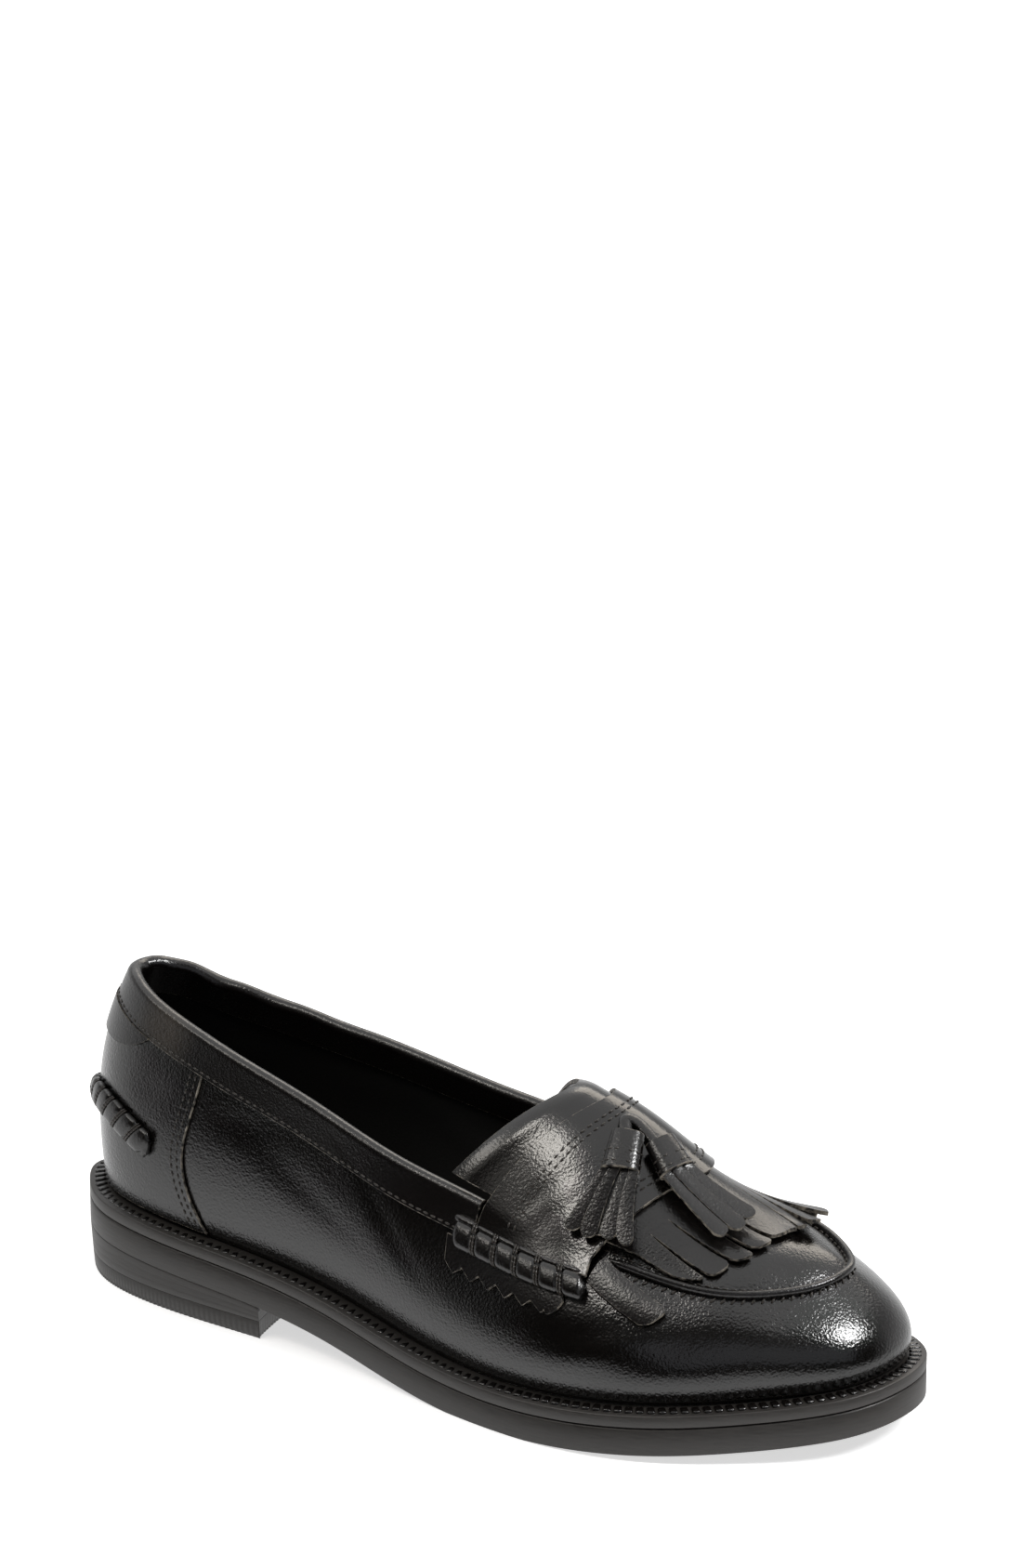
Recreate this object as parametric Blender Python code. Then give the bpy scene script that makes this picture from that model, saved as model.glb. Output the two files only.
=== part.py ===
# Tassel loafer for the right foot: a leather upper with a moc-toe apron on a welted sole and stacked heel.
# Frame: +X to the toe, +Y to the inner side of the foot, +Z up, origin on the floor under the box's middle.
# Sizes are in millimetres. Tables count x from the back of the heel and z from the floor.
import math
from collections import namedtuple

import bmesh
import bpy
import numpy as np

MM = 0.001
GAP = 0.3  # between pieces that touch
UP = np.array([0.0, 0.0, 1.0])

# Sole
SOLE_THICKNESS = 11.5
WELT_THICKNESS = 3.5
WELT_WIDTH = 10.0
WELT_RISE = 0.8  # the welt's top climbs towards the upper
EDGE_ROUND = 0.7
HEEL_BREAST = 76.5
BREAST_HOLLOW = 3.0
TOP_LIFT_THICKNESS = 5.0
HEEL_TOP_INSET = 0.2
HEEL_TAPER = 0.6  # by which each layer of the heel draws in
HEEL_SECTIONS = 14
HEEL_COLUMNS = 5
HOLLOW_POWER = 6  # keeps the hollow close to the breast
INSOLE_ABOVE_WELT = 2.0

# Upper
RIBS = 41  # sections down each side
THROAT_RIB = 23
FEATHER_INSET = 5.6  # from the sole's edge to the foot of the upper
WELT_CREST_INSET = FEATHER_INSET - 1.0
WALL = 1.6
WALL_RISE = 0.45  # share of the height at which the wall's foot points
WALL_REACH = 0.36
CROWN_POWER = 2.0
CREST_POWER = 4  # brings both sides level to the middle line, without a ridge
SEAM_HEIGHT = 2.0

SoleSection = namedtuple("SoleSection", "x outer inner welt_top")
SOLE = [
    SoleSection(*row)
    for row in (
        (0.0, 2.6, 2.6, 25.4),
        (3.0, -5.6, 11.2, 25.3),
        (12.0, -16.2, 21.6, 24.9),
        (28.0, -24.1, 30.0, 24.3),
        (48.0, -28.1, 33.3, 23.3),
        (72.0, -30.3, 32.5, 21.6),
        (100.0, -33.6, 28.8, 17.8),
        (130.0, -40.6, 27.5, 12.9),
        (160.0, -47.3, 33.5, 11.2),
        (185.0, -49.0, 41.0, 12.1),
        (210.0, -43.8, 43.8, 13.7),
        (230.0, -33.4, 40.5, 15.3),
        (247.0, -21.8, 32.5, 17.2),
        (257.0, -10.9, 23.0, 18.7),
        (262.0, 7.0, 7.0, 19.7),
    )
]

# Top edge of the wall: the collar as far as the throat, then the apron seam round the toe.
EdgeSection = namedtuple("EdgeSection", "x outer inner outer_z inner_z")
EDGE = [
    EdgeSection(*row)
    for row in (
        (15.5, 3.0, 3.0, 89.3, 89.3),
        (20.0, -5.2, 11.0, 89.0, 88.6),
        (27.0, -10.2, 15.8, 87.0, 85.8),
        (37.0, -14.0, 19.0, 84.1, 82.0),
        (50.0, -17.5, 22.0, 81.0, 78.7),
        (65.0, -20.3, 24.3, 77.2, 75.1),
        (90.0, -23.4, 26.0, 70.6, 70.6),
        (120.0, -27.2, 28.4, 61.9, 64.0),
        (150.0, -28.6, 29.0, 55.2, 58.6),
        (170.0, -30.6, 28.4, 50.5, 52.5),
        (190.0, -29.6, 27.6, 46.5, 49.0),
        (205.0, -26.6, 27.0, 43.2, 47.2),
        (220.0, -21.8, 24.8, 41.6, 46.0),
        (231.0, -13.2, 19.6, 41.4, 44.7),
        (238.0, -5.0, 13.5, 42.0, 44.0),
        (241.5, 6.0, 6.0, 43.4, 43.4),
    )
]

# Middle line of the instep and apron, by the section that reaches it.
SpineSection = namedtuple("SpineSection", "edge_x x y z")
SPINE = [
    SpineSection(*row)
    for row in (
        (150.0, 164.0, 2.0, 78.6),
        (168.0, 181.0, 2.5, 72.0),
        (186.0, 197.5, 3.0, 63.4),
        (205.0, 210.5, 4.0, 57.0),
        (222.0, 219.5, 5.0, 52.8),
        (241.5, 226.0, 5.8, 50.2),
    )
]

# How the wall leaves the sole and arrives at its top edge.
WallSection = namedtuple("WallSection", "x bulge lean")
WALLS = [
    WallSection(*row)
    for row in (
        (0.0, 3.0, 66.0),
        (50.0, 3.5, 78.0),
        (100.0, 4.0, 82.0),
        (150.0, 4.5, 70.0),
        (185.0, 5.0, 50.0),
        (215.0, 5.5, 42.0),
        (240.0, 5.5, 40.0),
        (262.0, 5.5, 38.0),
    )
]


def smooth_curve(knots, values):
    """A natural cubic spline through the rows of a table."""
    knots, values = np.array(knots, float), np.array(values, float)
    steps = np.diff(knots)
    rises = np.diff(values) / steps
    matrix, right = np.eye(len(knots)), np.zeros(len(knots))
    for i in range(1, len(knots) - 1):
        matrix[i, i - 1 : i + 2] = steps[i - 1], 2 * (steps[i - 1] + steps[i]), steps[i]
        right[i] = 6 * (rises[i] - rises[i - 1])
    bends = np.linalg.solve(matrix, right)

    def at(knot):
        i = int(np.clip(np.searchsorted(knots, knot) - 1, 0, len(steps) - 1))
        before, after = knot - knots[i], knots[i + 1] - knot
        return (
            (bends[i] * after**3 + bends[i + 1] * before**3) / (6 * steps[i])
            + (values[i] / steps[i] - bends[i] * steps[i] / 6) * after
            + (values[i + 1] / steps[i] - bends[i + 1] * steps[i] / 6) * before
        )

    return at


def column_curve(rows, knot, value):
    return smooth_curve([getattr(row, knot) for row in rows], [getattr(row, value) for row in rows])


def ring_x(rows, turn):
    """x on the way round: turn 0 is the heel, 0 to 1 the outer side, 1 the toe, 1 to 2 the inner side."""
    return rows[0].x + (rows[-1].x - rows[0].x) * (1 - math.cos(math.pi * turn)) / 2


def ring_curve(rows, outer, inner):
    """A table's outer and inner columns as one smooth curve over the turn, closed at heel and toe."""
    length = rows[-1].x - rows[0].x
    turns = [math.acos(1 - 2 * (row.x - rows[0].x) / length) / math.pi for row in rows]
    knots = list(turns) + [2 - turn for turn in reversed(turns[1:-1])]
    values = [getattr(row, outer) for row in rows] + [getattr(row, inner) for row in reversed(rows[1:-1])]
    curve = smooth_curve(
        [knot - 2 for knot in knots] + knots + [knot + 2 for knot in knots],
        values * 3,
    )
    return lambda turn: curve(turn % 2)


welt_top = column_curve(SOLE, "x", "welt_top")
sole_y = ring_curve(SOLE, "outer", "inner")
edge_y = ring_curve(EDGE, "outer", "inner")
edge_z = ring_curve(EDGE, "outer_z", "inner_z")
spine_x = column_curve(SPINE, "edge_x", "x")
spine_y = column_curve(SPINE, "edge_x", "y")
spine_z = column_curve(SPINE, "edge_x", "z")
wall_bulge = column_curve(WALLS, "x", "bulge")
wall_lean = column_curve(WALLS, "x", "lean")


def sole_plan(turn):
    return np.array([ring_x(SOLE, turn), sole_y(turn), 0.0])


def inward(turn):
    """Level direction from the sole's edge towards the middle of the shoe."""
    step = 0.002
    along = sole_plan(turn + step) - sole_plan(turn - step)
    across = np.array([-along[1], along[0], 0.0])
    return across / np.linalg.norm(across)


def sole_edge(turn, inset):
    return sole_plan(turn) + inward(turn) * inset


def sole_bottom(x):
    """Underside of the outsole: level with the floor at the ball, raised at the arch, heel and toe."""
    return max(0.0, welt_top(x) - SOLE_THICKNESS)


def foot_point(turn):
    point = sole_edge(turn, FEATHER_INSET)
    return point + UP * (welt_top(point[0]) + WELT_RISE + GAP)


def edge_point(turn):
    return np.array([ring_x(EDGE, turn), edge_y(turn), edge_z(turn)])


def spine_point(edge_x):
    return np.array([spine_x(edge_x), spine_y(edge_x), spine_z(edge_x)])


def wall_point(turn, share):
    """The upper's wall, from its foot on the welt (0) to its top edge (1)."""
    low, high = foot_point(turn), edge_point(turn)
    into = inward(turn)
    station = ring_x(SOLE, turn)
    lean = math.radians(wall_lean(station))
    low_handle = low + UP * WALL_RISE * (high[2] - low[2]) - into * wall_bulge(station)
    reach = WALL_REACH * np.linalg.norm(high - low)
    high_handle = high - (into * math.cos(lean) + UP * math.sin(lean)) * reach
    rest = 1 - share
    ends = low * rest**3 + high * share**3
    return ends + 3 * low_handle * rest**2 * share + 3 * high_handle * rest * share**2


def dome_point(turn, share):
    """The apron and instep, from the wall's top edge (0) to the middle line (1)."""
    low = edge_point(turn)
    high = spine_point(low[0])
    point = low + (high - low) * share
    point[0] += (high[0] - low[0]) * share**CREST_POWER * (1 - share)
    point[2] = low[2] + (high[2] - low[2]) * (1 - (1 - share) ** CROWN_POWER)
    return point


def upper_point(turn, height):
    """The outside of the upper: height 0 to 1 up the wall, 1 to 2 over the apron."""
    return wall_point(turn, height) if height <= 1 else dome_point(turn, height - 1)


def upper_normal(turn, height):
    step = 0.004
    if height > 2 - step:
        edge_x = ring_x(EDGE, turn)
        along = spine_point(edge_x + 1) - spine_point(edge_x - 1)
        across = np.array([0.0, 1.0, 0.0])
        normal = np.cross(along, across)
        return normal / np.linalg.norm(normal)
    along = upper_point(turn + step, height) - upper_point(turn - step, height)
    rise = upper_point(turn, height + step) - upper_point(turn, height - step)
    normal = np.cross(along, rise)
    return normal / np.linalg.norm(normal)


def on_upper(turn, height, out):
    return upper_point(turn, height) + upper_normal(turn, height) * out


SHIFT = np.array(
    [
        -(SOLE[0].x + SOLE[-1].x) / 2,
        -(min(sole_y(k / 200) for k in range(200)) + max(sole_y(1 + k / 200) for k in range(200))) / 2,
        0.0,
    ]
)


class Sheet:
    """Points with names, and the quads between them."""

    def __init__(self):
        self.index = {}
        self.places = []
        self.faces = []

    def point(self, name, *places):
        if name not in self.index:
            self.index[name] = len(self.places)
            self.places.append(places)

    def face(self, *names):
        self.faces.append([self.index[name] for name in names])


def material(name, colour, roughness, metallic=0.0):
    shade = bpy.data.materials.new(name)
    shade.use_nodes = True
    shader = shade.node_tree.nodes["Principled BSDF"]
    shader.inputs["Base Color"].default_value = (*colour, 1.0)
    shader.inputs["Roughness"].default_value = roughness
    shader.inputs["Metallic"].default_value = metallic
    shade.diffuse_color = (*colour, 1.0)
    return shade


def solid(name, places, faces, shade, sharp_angle=40):
    """An object from its points and faces, with its faces turned outwards."""
    mesh = bpy.data.meshes.new(name)
    work = bmesh.new()
    corners = [work.verts.new((place + SHIFT) * MM) for place in places]
    for face in faces:
        work.faces.new([corners[i] for i in face])
    bmesh.ops.recalc_face_normals(work, faces=work.faces)
    work.to_mesh(mesh)
    work.free()
    mesh.materials.append(shade)
    mesh.shade_smooth()
    mesh.set_sharp_from_angle(angle=math.radians(sharp_angle))
    item = bpy.data.objects.new(name, mesh)
    bpy.context.scene.collection.objects.link(item)
    return item


def shell(name, sheet, shade):
    """A sheet whose points each have an outside and an inside place, closed by a rim round its edges."""
    count = len(sheet.places)
    faces = list(sheet.faces)
    faces += [[i + count for i in reversed(face)] for face in sheet.faces]
    edges = {(a, b) for face in sheet.faces for a, b in zip(face, face[1:] + face[:1])}
    faces += [[b, a, a + count, b + count] for a, b in edges if (b, a) not in edges]
    places = [pair[0] for pair in sheet.places] + [pair[1] for pair in sheet.places]
    return solid(name, places, faces, shade)


def sweep(name, rings, shade, closed):
    """A solid through rings of points: round and closed, or with an end cap on each side."""
    size = len(rings[0])
    places = [place for ring in rings for place in ring]
    last = len(rings) if closed else len(rings) - 1
    faces = []
    for i in range(last):
        here, there = i * size, (i + 1) % len(rings) * size
        for j in range(size):
            k = (j + 1) % size
            faces.append([here + j, here + k, there + k, there + j])
    if not closed:
        faces.append(list(range(size)))
        faces.append([(len(rings) - 1) * size + j for j in range(size)])
    return solid(name, places, faces, shade)


def ladder(name, turns, profile, shade):
    """A plate: at each turn a line of points down its outer and inner side, joined across."""
    rings = []
    for turn in turns:
        outer = profile(turn)
        inner = profile(2 - turn)
        rings.append(outer + inner[::-1])
    return sweep(name, rings, shade, closed=False)


SIDE_TURNS = [k / RIBS for k in range(1, RIBS)]


def make_outsole(shade):
    top_drop = WELT_THICKNESS + GAP

    def profile(turn):
        rim = sole_edge(turn, 0.0)
        tucked = sole_edge(turn, EDGE_ROUND)
        top = welt_top(rim[0]) - top_drop
        low = sole_bottom(rim[0])
        return [
            tucked + UP * (welt_top(tucked[0]) - top_drop),
            rim + UP * (top - EDGE_ROUND),
            rim + UP * (low + EDGE_ROUND),
            tucked + UP * sole_bottom(tucked[0]),
        ]

    return ladder("outsole", SIDE_TURNS, profile, shade)


def make_welt(shade):
    rings = []
    for k in range(2 * RIBS):
        turn = k / RIBS
        rim, face = sole_edge(turn, 0.0), sole_edge(turn, EDGE_ROUND)
        heel = sole_edge(turn, WELT_WIDTH)
        crest = sole_edge(turn, WELT_CREST_INSET)
        rings.append(
            [
                rim + UP * (welt_top(rim[0]) - WELT_THICKNESS + EDGE_ROUND),
                rim + UP * (welt_top(rim[0]) - EDGE_ROUND),
                face + UP * welt_top(face[0]),
                crest + UP * (welt_top(crest[0]) + WELT_RISE),
                heel + UP * (welt_top(heel[0]) + WELT_RISE),
                heel + UP * (welt_top(heel[0]) - WELT_THICKNESS),
                face + UP * (welt_top(face[0]) - WELT_THICKNESS),
            ]
        )
    return sweep("welt", rings, shade, closed=True)


def heel_turns():
    """Turns round the heel as far as the breast."""
    length = SOLE[-1].x - SOLE[0].x
    breast = math.acos(1 - 2 * HEEL_BREAST / length) / math.pi
    return [breast * k / HEEL_SECTIONS for k in range(1, HEEL_SECTIONS + 1)]


def heel_piece(name, shade, low, high, inset_low, inset_high):
    """A heel layer between two heights, with a hollow breast."""

    def profile(turn):
        top, bottom = sole_edge(turn, inset_high), sole_edge(turn, inset_low)
        return [top + UP * high(top[0]), bottom + UP * low(bottom[0])]

    rings = []
    turns = heel_turns()
    for turn in turns:
        hollow = BREAST_HOLLOW * (turn / turns[-1]) ** HOLLOW_POWER
        upper_row, lower_row = [], []
        for j in range(HEEL_COLUMNS + 1):
            share = j / HEEL_COLUMNS
            inset = hollow * 4 * share * (1 - share)
            for row, end, height in ((upper_row, 0, high), (lower_row, 1, low)):
                place = profile(turn)[end] * (1 - share) + profile(2 - turn)[end] * share
                place[0] -= inset
                place[2] = height(place[0])
                row.append(place)
        rings.append(upper_row + lower_row[::-1])
    return sweep(name, rings, shade, closed=False)


def make_heel(stack_shade, lift_shade):
    heel_piece(
        "heel_stack",
        stack_shade,
        lambda x: TOP_LIFT_THICKNESS + GAP,
        lambda x: sole_bottom(x) - GAP,
        HEEL_TAPER,
        HEEL_TOP_INSET,
    )
    heel_piece(
        "heel_top_lift",
        lift_shade,
        lambda x: 0.0,
        lambda x: TOP_LIFT_THICKNESS,
        2 * HEEL_TAPER,
        HEEL_TAPER,
    )


def make_insole(shade):
    inset = WELT_WIDTH + GAP

    def profile(turn):
        rim = sole_edge(turn, inset)
        return [
            rim + UP * (welt_top(rim[0]) + INSOLE_ABOVE_WELT),
            rim + UP * (welt_top(rim[0]) - WELT_THICKNESS),
        ]

    return ladder("insole", SIDE_TURNS, profile, shade)


# Rows of the upper from the welt to the middle line, with the height of the apron's raised seam.
UpperRow = namedtuple("UpperRow", "height lift")
WALL_ROWS = [UpperRow(height, 0.0) for height in (0.0, 0.1, 0.24, 0.4, 0.58, 0.78, 0.9)]
SEAM_ROWS = [UpperRow(0.955, 0.1), UpperRow(1.0, 0.95)]
SEAM_INNER_ROWS = [UpperRow(1.05, 1.0), UpperRow(1.1, 0.1)]
APRON_ROWS = SEAM_INNER_ROWS + [UpperRow(height, 0.0) for height in (1.25, 1.5, 1.75)]
MIDDLE_ROW = UpperRow(2.0, 0.0)
SEAM_START = 181.4  # the seam rises out of the wall under the saddle
SEAM_FULL = 189.0


def seam_share(turn):
    share = (ring_x(EDGE, turn) - SEAM_START) / (SEAM_FULL - SEAM_START)
    return min(1.0, max(0.0, share))


def upper_rows(rib):
    """The rows of one section: only those in front of the throat go on over the apron."""
    rows = WALL_ROWS + SEAM_ROWS
    if THROAT_RIB <= rib <= 2 * RIBS - THROAT_RIB:
        rows = rows + APRON_ROWS + [MIDDLE_ROW]
    return rows


def make_upper(shade):
    sheet = Sheet()

    def name(rib, row):
        rib %= 2 * RIBS
        middle = row == len(WALL_ROWS + SEAM_ROWS + APRON_ROWS)
        return (min(rib, 2 * RIBS - rib) if middle else rib, row)

    for rib in range(2 * RIBS):
        turn = rib / RIBS
        for number, row in enumerate(upper_rows(rib)):
            outside = on_upper(turn, row.height, row.lift * SEAM_HEIGHT * seam_share(turn))
            inside = on_upper(turn, row.height, -WALL)
            if number == 0:
                inside = outside + inward(turn) * WALL
                inside[2] = welt_top(inside[0]) + WELT_RISE + GAP
            sheet.point(name(rib, number), outside, inside)
    for rib in range(2 * RIBS):
        beside = (rib + 1) % (2 * RIBS)
        count = min(len(upper_rows(rib)), len(upper_rows(beside)))
        for row in range(count - 1):
            sheet.face(name(rib, row), name(beside, row), name(beside, row + 1), name(rib, row + 1))
    return shell("upper", sheet, shade)


# Trim is laid over the upper in layers, each given by its distance out from the upper.
Layer = namedtuple("Layer", "low high")
OVERLAY = Layer(GAP, 1.3)
TAB_LAYER = Layer(OVERLAY.high + GAP, 2.6)
TONGUE_LAYER = Layer(GAP, 1.9)
KILTIE_LAYER = Layer(0.5, 1.9)
SADDLE_LAYER = Layer(2.3, 3.9)
TASSEL_LAYER = Layer(4.3, 6.3)
ROLL_CLEARANCE = 0.4
SEAM_GAP = 0.012  # below an overlay, as a share of the wall's height


def mirrored(turn, side):
    """The same place on the outer (-1) or the inner (1) side of the shoe."""
    return turn if side < 0 else 2 - turn


def panel(name, shade, turns, heights, layer, place):
    """A sheet over the upper; place gives the turn and height of each crossing of its two rulings."""
    sheet = Sheet()
    for i, first in enumerate(turns):
        for j, second in enumerate(heights):
            turn, height = place(first, second)
            sheet.point((i, j), on_upper(turn, height, layer.high), on_upper(turn, height, layer.low))
    for i in range(len(turns) - 1):
        for j in range(len(heights) - 1):
            sheet.face((i, j), (i + 1, j), (i + 1, j + 1), (i, j + 1))
    return shell(name, sheet, shade)


def shares(count):
    return [k / count for k in range(count + 1)]


# Tongue: a flap that starts under the saddle and rises behind the throat.
TONGUE_UNDER = 6.0
TONGUE_SIDE_LENGTH = 13.5
TONGUE_MIDDLE_LENGTH = 7.0
TONGUE_CURL = 0.010
TONGUE_LOW = 1.10  # height on the instep of its side edges
THROAT_TURN = THROAT_RIB / RIBS


def tongue_point(distance, height, side, out):
    """A point of the tongue, by its distance behind the throat and its height on one side of the instep."""
    turn = mirrored(THROAT_TURN, side)
    step = 0.01
    ahead = upper_point(turn - side * step, height) - upper_point(turn, height)
    back = -ahead / np.linalg.norm(ahead)
    spread = 2 - height
    back[1] *= spread
    curl = TONGUE_CURL * max(0.0, distance) ** 2
    return upper_point(turn, height) + back * distance + upper_normal(turn, height) * (out + curl)


def make_tongue(shade):
    sheet = Sheet()
    stations = [-TONGUE_UNDER, 0.0, 1 / 3, 2 / 3, 1.0]
    half = 8
    for i, station in enumerate(stations):
        for j in range(-half, half + 1):
            side = -1 if j <= 0 else 1
            middle = 1 - abs(j) / half
            length = TONGUE_MIDDLE_LENGTH + (TONGUE_SIDE_LENGTH - TONGUE_MIDDLE_LENGTH) * (1 - middle) ** 2
            distance = station * length if station > 0 else station
            height = TONGUE_LOW + (2 - TONGUE_LOW) * middle
            sheet.point((i, j), *(tongue_point(distance, height, side, out) for out in TONGUE_LAYER[::-1]))
    for i in range(len(stations) - 1):
        for j in range(-half, half):
            sheet.face((i, j), (i, j + 1), (i + 1, j + 1), (i + 1, j))
    return shell("tongue", sheet, shade)


# Collar binding: a strip folded over the top edge, from beef roll to beef roll round the back.
BINDING_END_RIB = 22  # runs on the upper's own sections
BINDING_BACK_HEIGHT = 0.87
BINDING_FRONT_HEIGHT = 0.79
BINDING_INSIDE_HEIGHT = 0.86
BINDING_FRONT_TURN = 0.5
BINDING_MIDDLE = 0.9  # rows up its outer leaf
BINDING_TOP = 0.955
FOLD_OUTER = 0.6  # shares of the thickness at which the fold rounds over
BINDING_FOLD_INSIDE = 0.8  # beyond the wall's inner face
BINDING_INSIDE = Layer(-WALL - 1.7, -WALL - 0.7)


def binding_low(turn):
    share = min(1.0, abs(turn) / BINDING_FRONT_TURN)
    return BINDING_BACK_HEIGHT + (BINDING_FRONT_HEIGHT - BINDING_BACK_HEIGHT) * share


def make_binding(shade):
    rings = []
    for rib in range(-BINDING_END_RIB, BINDING_END_RIB + 1):
        turn = rib / RIBS
        low = binding_low(turn)
        outside, inside = upper_point(turn, 1.0), on_upper(turn, 1.0, -WALL)
        across = (inside - outside) / np.linalg.norm(inside - outside)
        rise = UP - across * np.dot(UP, across)
        outer, inner = OVERLAY.high, BINDING_INSIDE.low
        rings.append(
            [
                on_upper(turn, low, OVERLAY.low),
                on_upper(turn, low, outer),
                on_upper(turn, BINDING_MIDDLE, outer),
                on_upper(turn, BINDING_TOP, outer),
                outside - across * outer * FOLD_OUTER + rise * OVERLAY.high,
                inside + across * BINDING_FOLD_INSIDE + rise * OVERLAY.high,
                on_upper(turn, BINDING_TOP, inner),
                on_upper(turn, BINDING_INSIDE_HEIGHT, inner),
                on_upper(turn, BINDING_INSIDE_HEIGHT, BINDING_INSIDE.high),
                inside + across * OVERLAY.low + rise * OVERLAY.low,
                outside - across * OVERLAY.low + rise * OVERLAY.low,
                on_upper(turn, BINDING_TOP, OVERLAY.low),
                on_upper(turn, BINDING_MIDDLE, OVERLAY.low),
            ]
        )
    return sweep("collar_binding", rings, shade, closed=False)


# Counter: the back overlay, its front edge a curved seam on the quarter.
COUNTER_TURN = 0.27
COUNTER_FLARE = 0.035  # widens towards the welt
COUNTER_FLARE_HEIGHT = 0.45
COUNTER_LOW = 0.03
COUNTER_COLUMNS = 24
COUNTER_ROWS = 5


def make_counter(shade):
    def place(across, up):
        top = binding_low(COUNTER_TURN * across) - SEAM_GAP
        height = COUNTER_LOW + (top - COUNTER_LOW) * up
        flare = COUNTER_FLARE * max(0.0, 1 - height / COUNTER_FLARE_HEIGHT) ** 2
        return across * (COUNTER_TURN + flare), height

    columns = [2 * share - 1 for share in shares(COUNTER_COLUMNS)]
    return panel("counter", shade, columns, shares(COUNTER_ROWS), OVERLAY, place)


# Back tab: a rounded flap under the binding.
TAB_TURN = 0.185
TAB_LOW = 0.70
TAB_CORNER_POWER = 6
TAB_CORNER_CUT = 0.95
TAB_COLUMNS = 16
TAB_ROWS = 2


def make_back_tab(shade):
    def place(across, up):
        turn = TAB_TURN * across
        top = binding_low(turn) - SEAM_GAP
        low = top - (top - TAB_LOW) * (1 - TAB_CORNER_CUT * abs(across) ** TAB_CORNER_POWER)
        return turn, low + (top - low) * up

    columns = [2 * share - 1 for share in shares(TAB_COLUMNS)]
    return panel("back_tab", shade, columns, shares(TAB_ROWS), TAB_LAYER, place)


ROLL_SIDES = 8
ROLL_GROOVE = 0.84  # of the full size, under a thread
ROLL_END = 0.55


def whipped_roll(name, shade, path, backing, wraps, per_wrap, tall, thick):
    """A roll of leather drawn in by wraps of stitching, on a path of turns and heights over the upper."""
    step = 0.02
    count = wraps * per_wrap
    rings = []
    for k in range(count + 1):
        share = k / count
        turn, height = path(share)
        size = ROLL_END if k in (0, count) else 1.0 if k % per_wrap else ROLL_GROOVE
        normal = upper_normal(turn, height)
        rise = upper_point(turn, height + step) - upper_point(turn, height - step)
        rise /= np.linalg.norm(rise)
        middle = on_upper(turn, height, backing + ROLL_CLEARANCE + thick)
        rings.append(
            [
                middle
                + rise * tall * size * math.cos(2 * math.pi * j / ROLL_SIDES)
                + normal * thick * size * math.sin(2 * math.pi * j / ROLL_SIDES)
                for j in range(ROLL_SIDES)
            ]
        )
    return sweep(name, rings, shade, closed=False)


HEEL_ROLL_TURN = 0.245
HEEL_ROLL_HEIGHT = 0.455
HEEL_ROLL_DROP = 2.2  # falls towards its ends
HEEL_ROLL_WRAPS = 13
HEEL_ROLL_PER_WRAP = 2
HEEL_ROLL_HALF_TALL = 3.1
HEEL_ROLL_HALF_THICK = 1.7


def make_heel_roll(shade):
    def path(share):
        turn = HEEL_ROLL_TURN * (2 * share - 1)
        return turn, HEEL_ROLL_HEIGHT - HEEL_ROLL_DROP * turn**2

    return whipped_roll(
        "heel_roll",
        shade,
        path,
        OVERLAY.high,
        HEEL_ROLL_WRAPS,
        HEEL_ROLL_PER_WRAP,
        HEEL_ROLL_HALF_TALL,
        HEEL_ROLL_HALF_THICK,
    )


BEEF_ROLL_START = 0.5425
BEEF_ROLL_END = 0.660
BEEF_ROLL_HEIGHT = 0.825
BEEF_ROLL_WRAPS = 6
BEEF_ROLL_PER_WRAP = 3
BEEF_ROLL_HALF_TALL = 3.3
BEEF_ROLL_HALF_THICK = 2.3


def make_beef_roll(name, shade, side):
    def path(share):
        return mirrored(BEEF_ROLL_START + (BEEF_ROLL_END - BEEF_ROLL_START) * share, side), BEEF_ROLL_HEIGHT

    return whipped_roll(
        name,
        shade,
        path,
        0.0,
        BEEF_ROLL_WRAPS,
        BEEF_ROLL_PER_WRAP,
        BEEF_ROLL_HALF_TALL,
        BEEF_ROLL_HALF_THICK,
    )


# Pinked tab: the saddle's end below the beef roll, cut in teeth.
PINKED_START = 0.532
PINKED_END = 0.642
PINKED_TOP = 0.725
PINKED_LOW = 0.555
PINKED_TEETH = 7
TOOTH_DEPTH = 0.045
PINKED_CORNER_START = 0.8  # share of its length at which the front corner rounds up
PINKED_CORNER_LIFT = 0.10
PINKED_ROWS = 2


def make_pinked_tab(name, shade, side):
    def place(along, up):
        corner = PINKED_CORNER_LIFT * (max(0.0, along - PINKED_CORNER_START) / (1 - PINKED_CORNER_START)) ** 2
        turn = PINKED_START + (PINKED_END - PINKED_START) * along
        tooth = TOOTH_DEPTH * (round(along * PINKED_TEETH * 2) % 2)
        low = PINKED_LOW + tooth + corner
        return mirrored(turn, side), low + (PINKED_TOP - low) * up

    return panel(name, shade, shares(PINKED_TEETH * 2), shares(PINKED_ROWS), OVERLAY, place)


# Saddle: the strap over the instep.
SADDLE_REAR = 0.562
SADDLE_FRONT = 0.664
SADDLE_SWEEP = 0.013  # its edges run forward over the instep
SADDLE_COLUMNS = 5
SADDLE_HEIGHTS = (0.93, 0.98, 1.03, 1.1, 1.2, 1.35, 1.5, 1.67, 1.84, 2.0)


def make_saddle(shade):
    half = len(SADDLE_HEIGHTS) - 1

    def place(along, across):
        height = SADDLE_HEIGHTS[half - abs(across)]
        turn = SADDLE_REAR + (SADDLE_FRONT - SADDLE_REAR) * along + SADDLE_SWEEP * (height - 1)
        return mirrored(turn, -1 if across <= 0 else 1), height

    return panel("saddle", shade, shares(SADDLE_COLUMNS), list(range(-half, half + 1)), SADDLE_LAYER, place)


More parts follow.
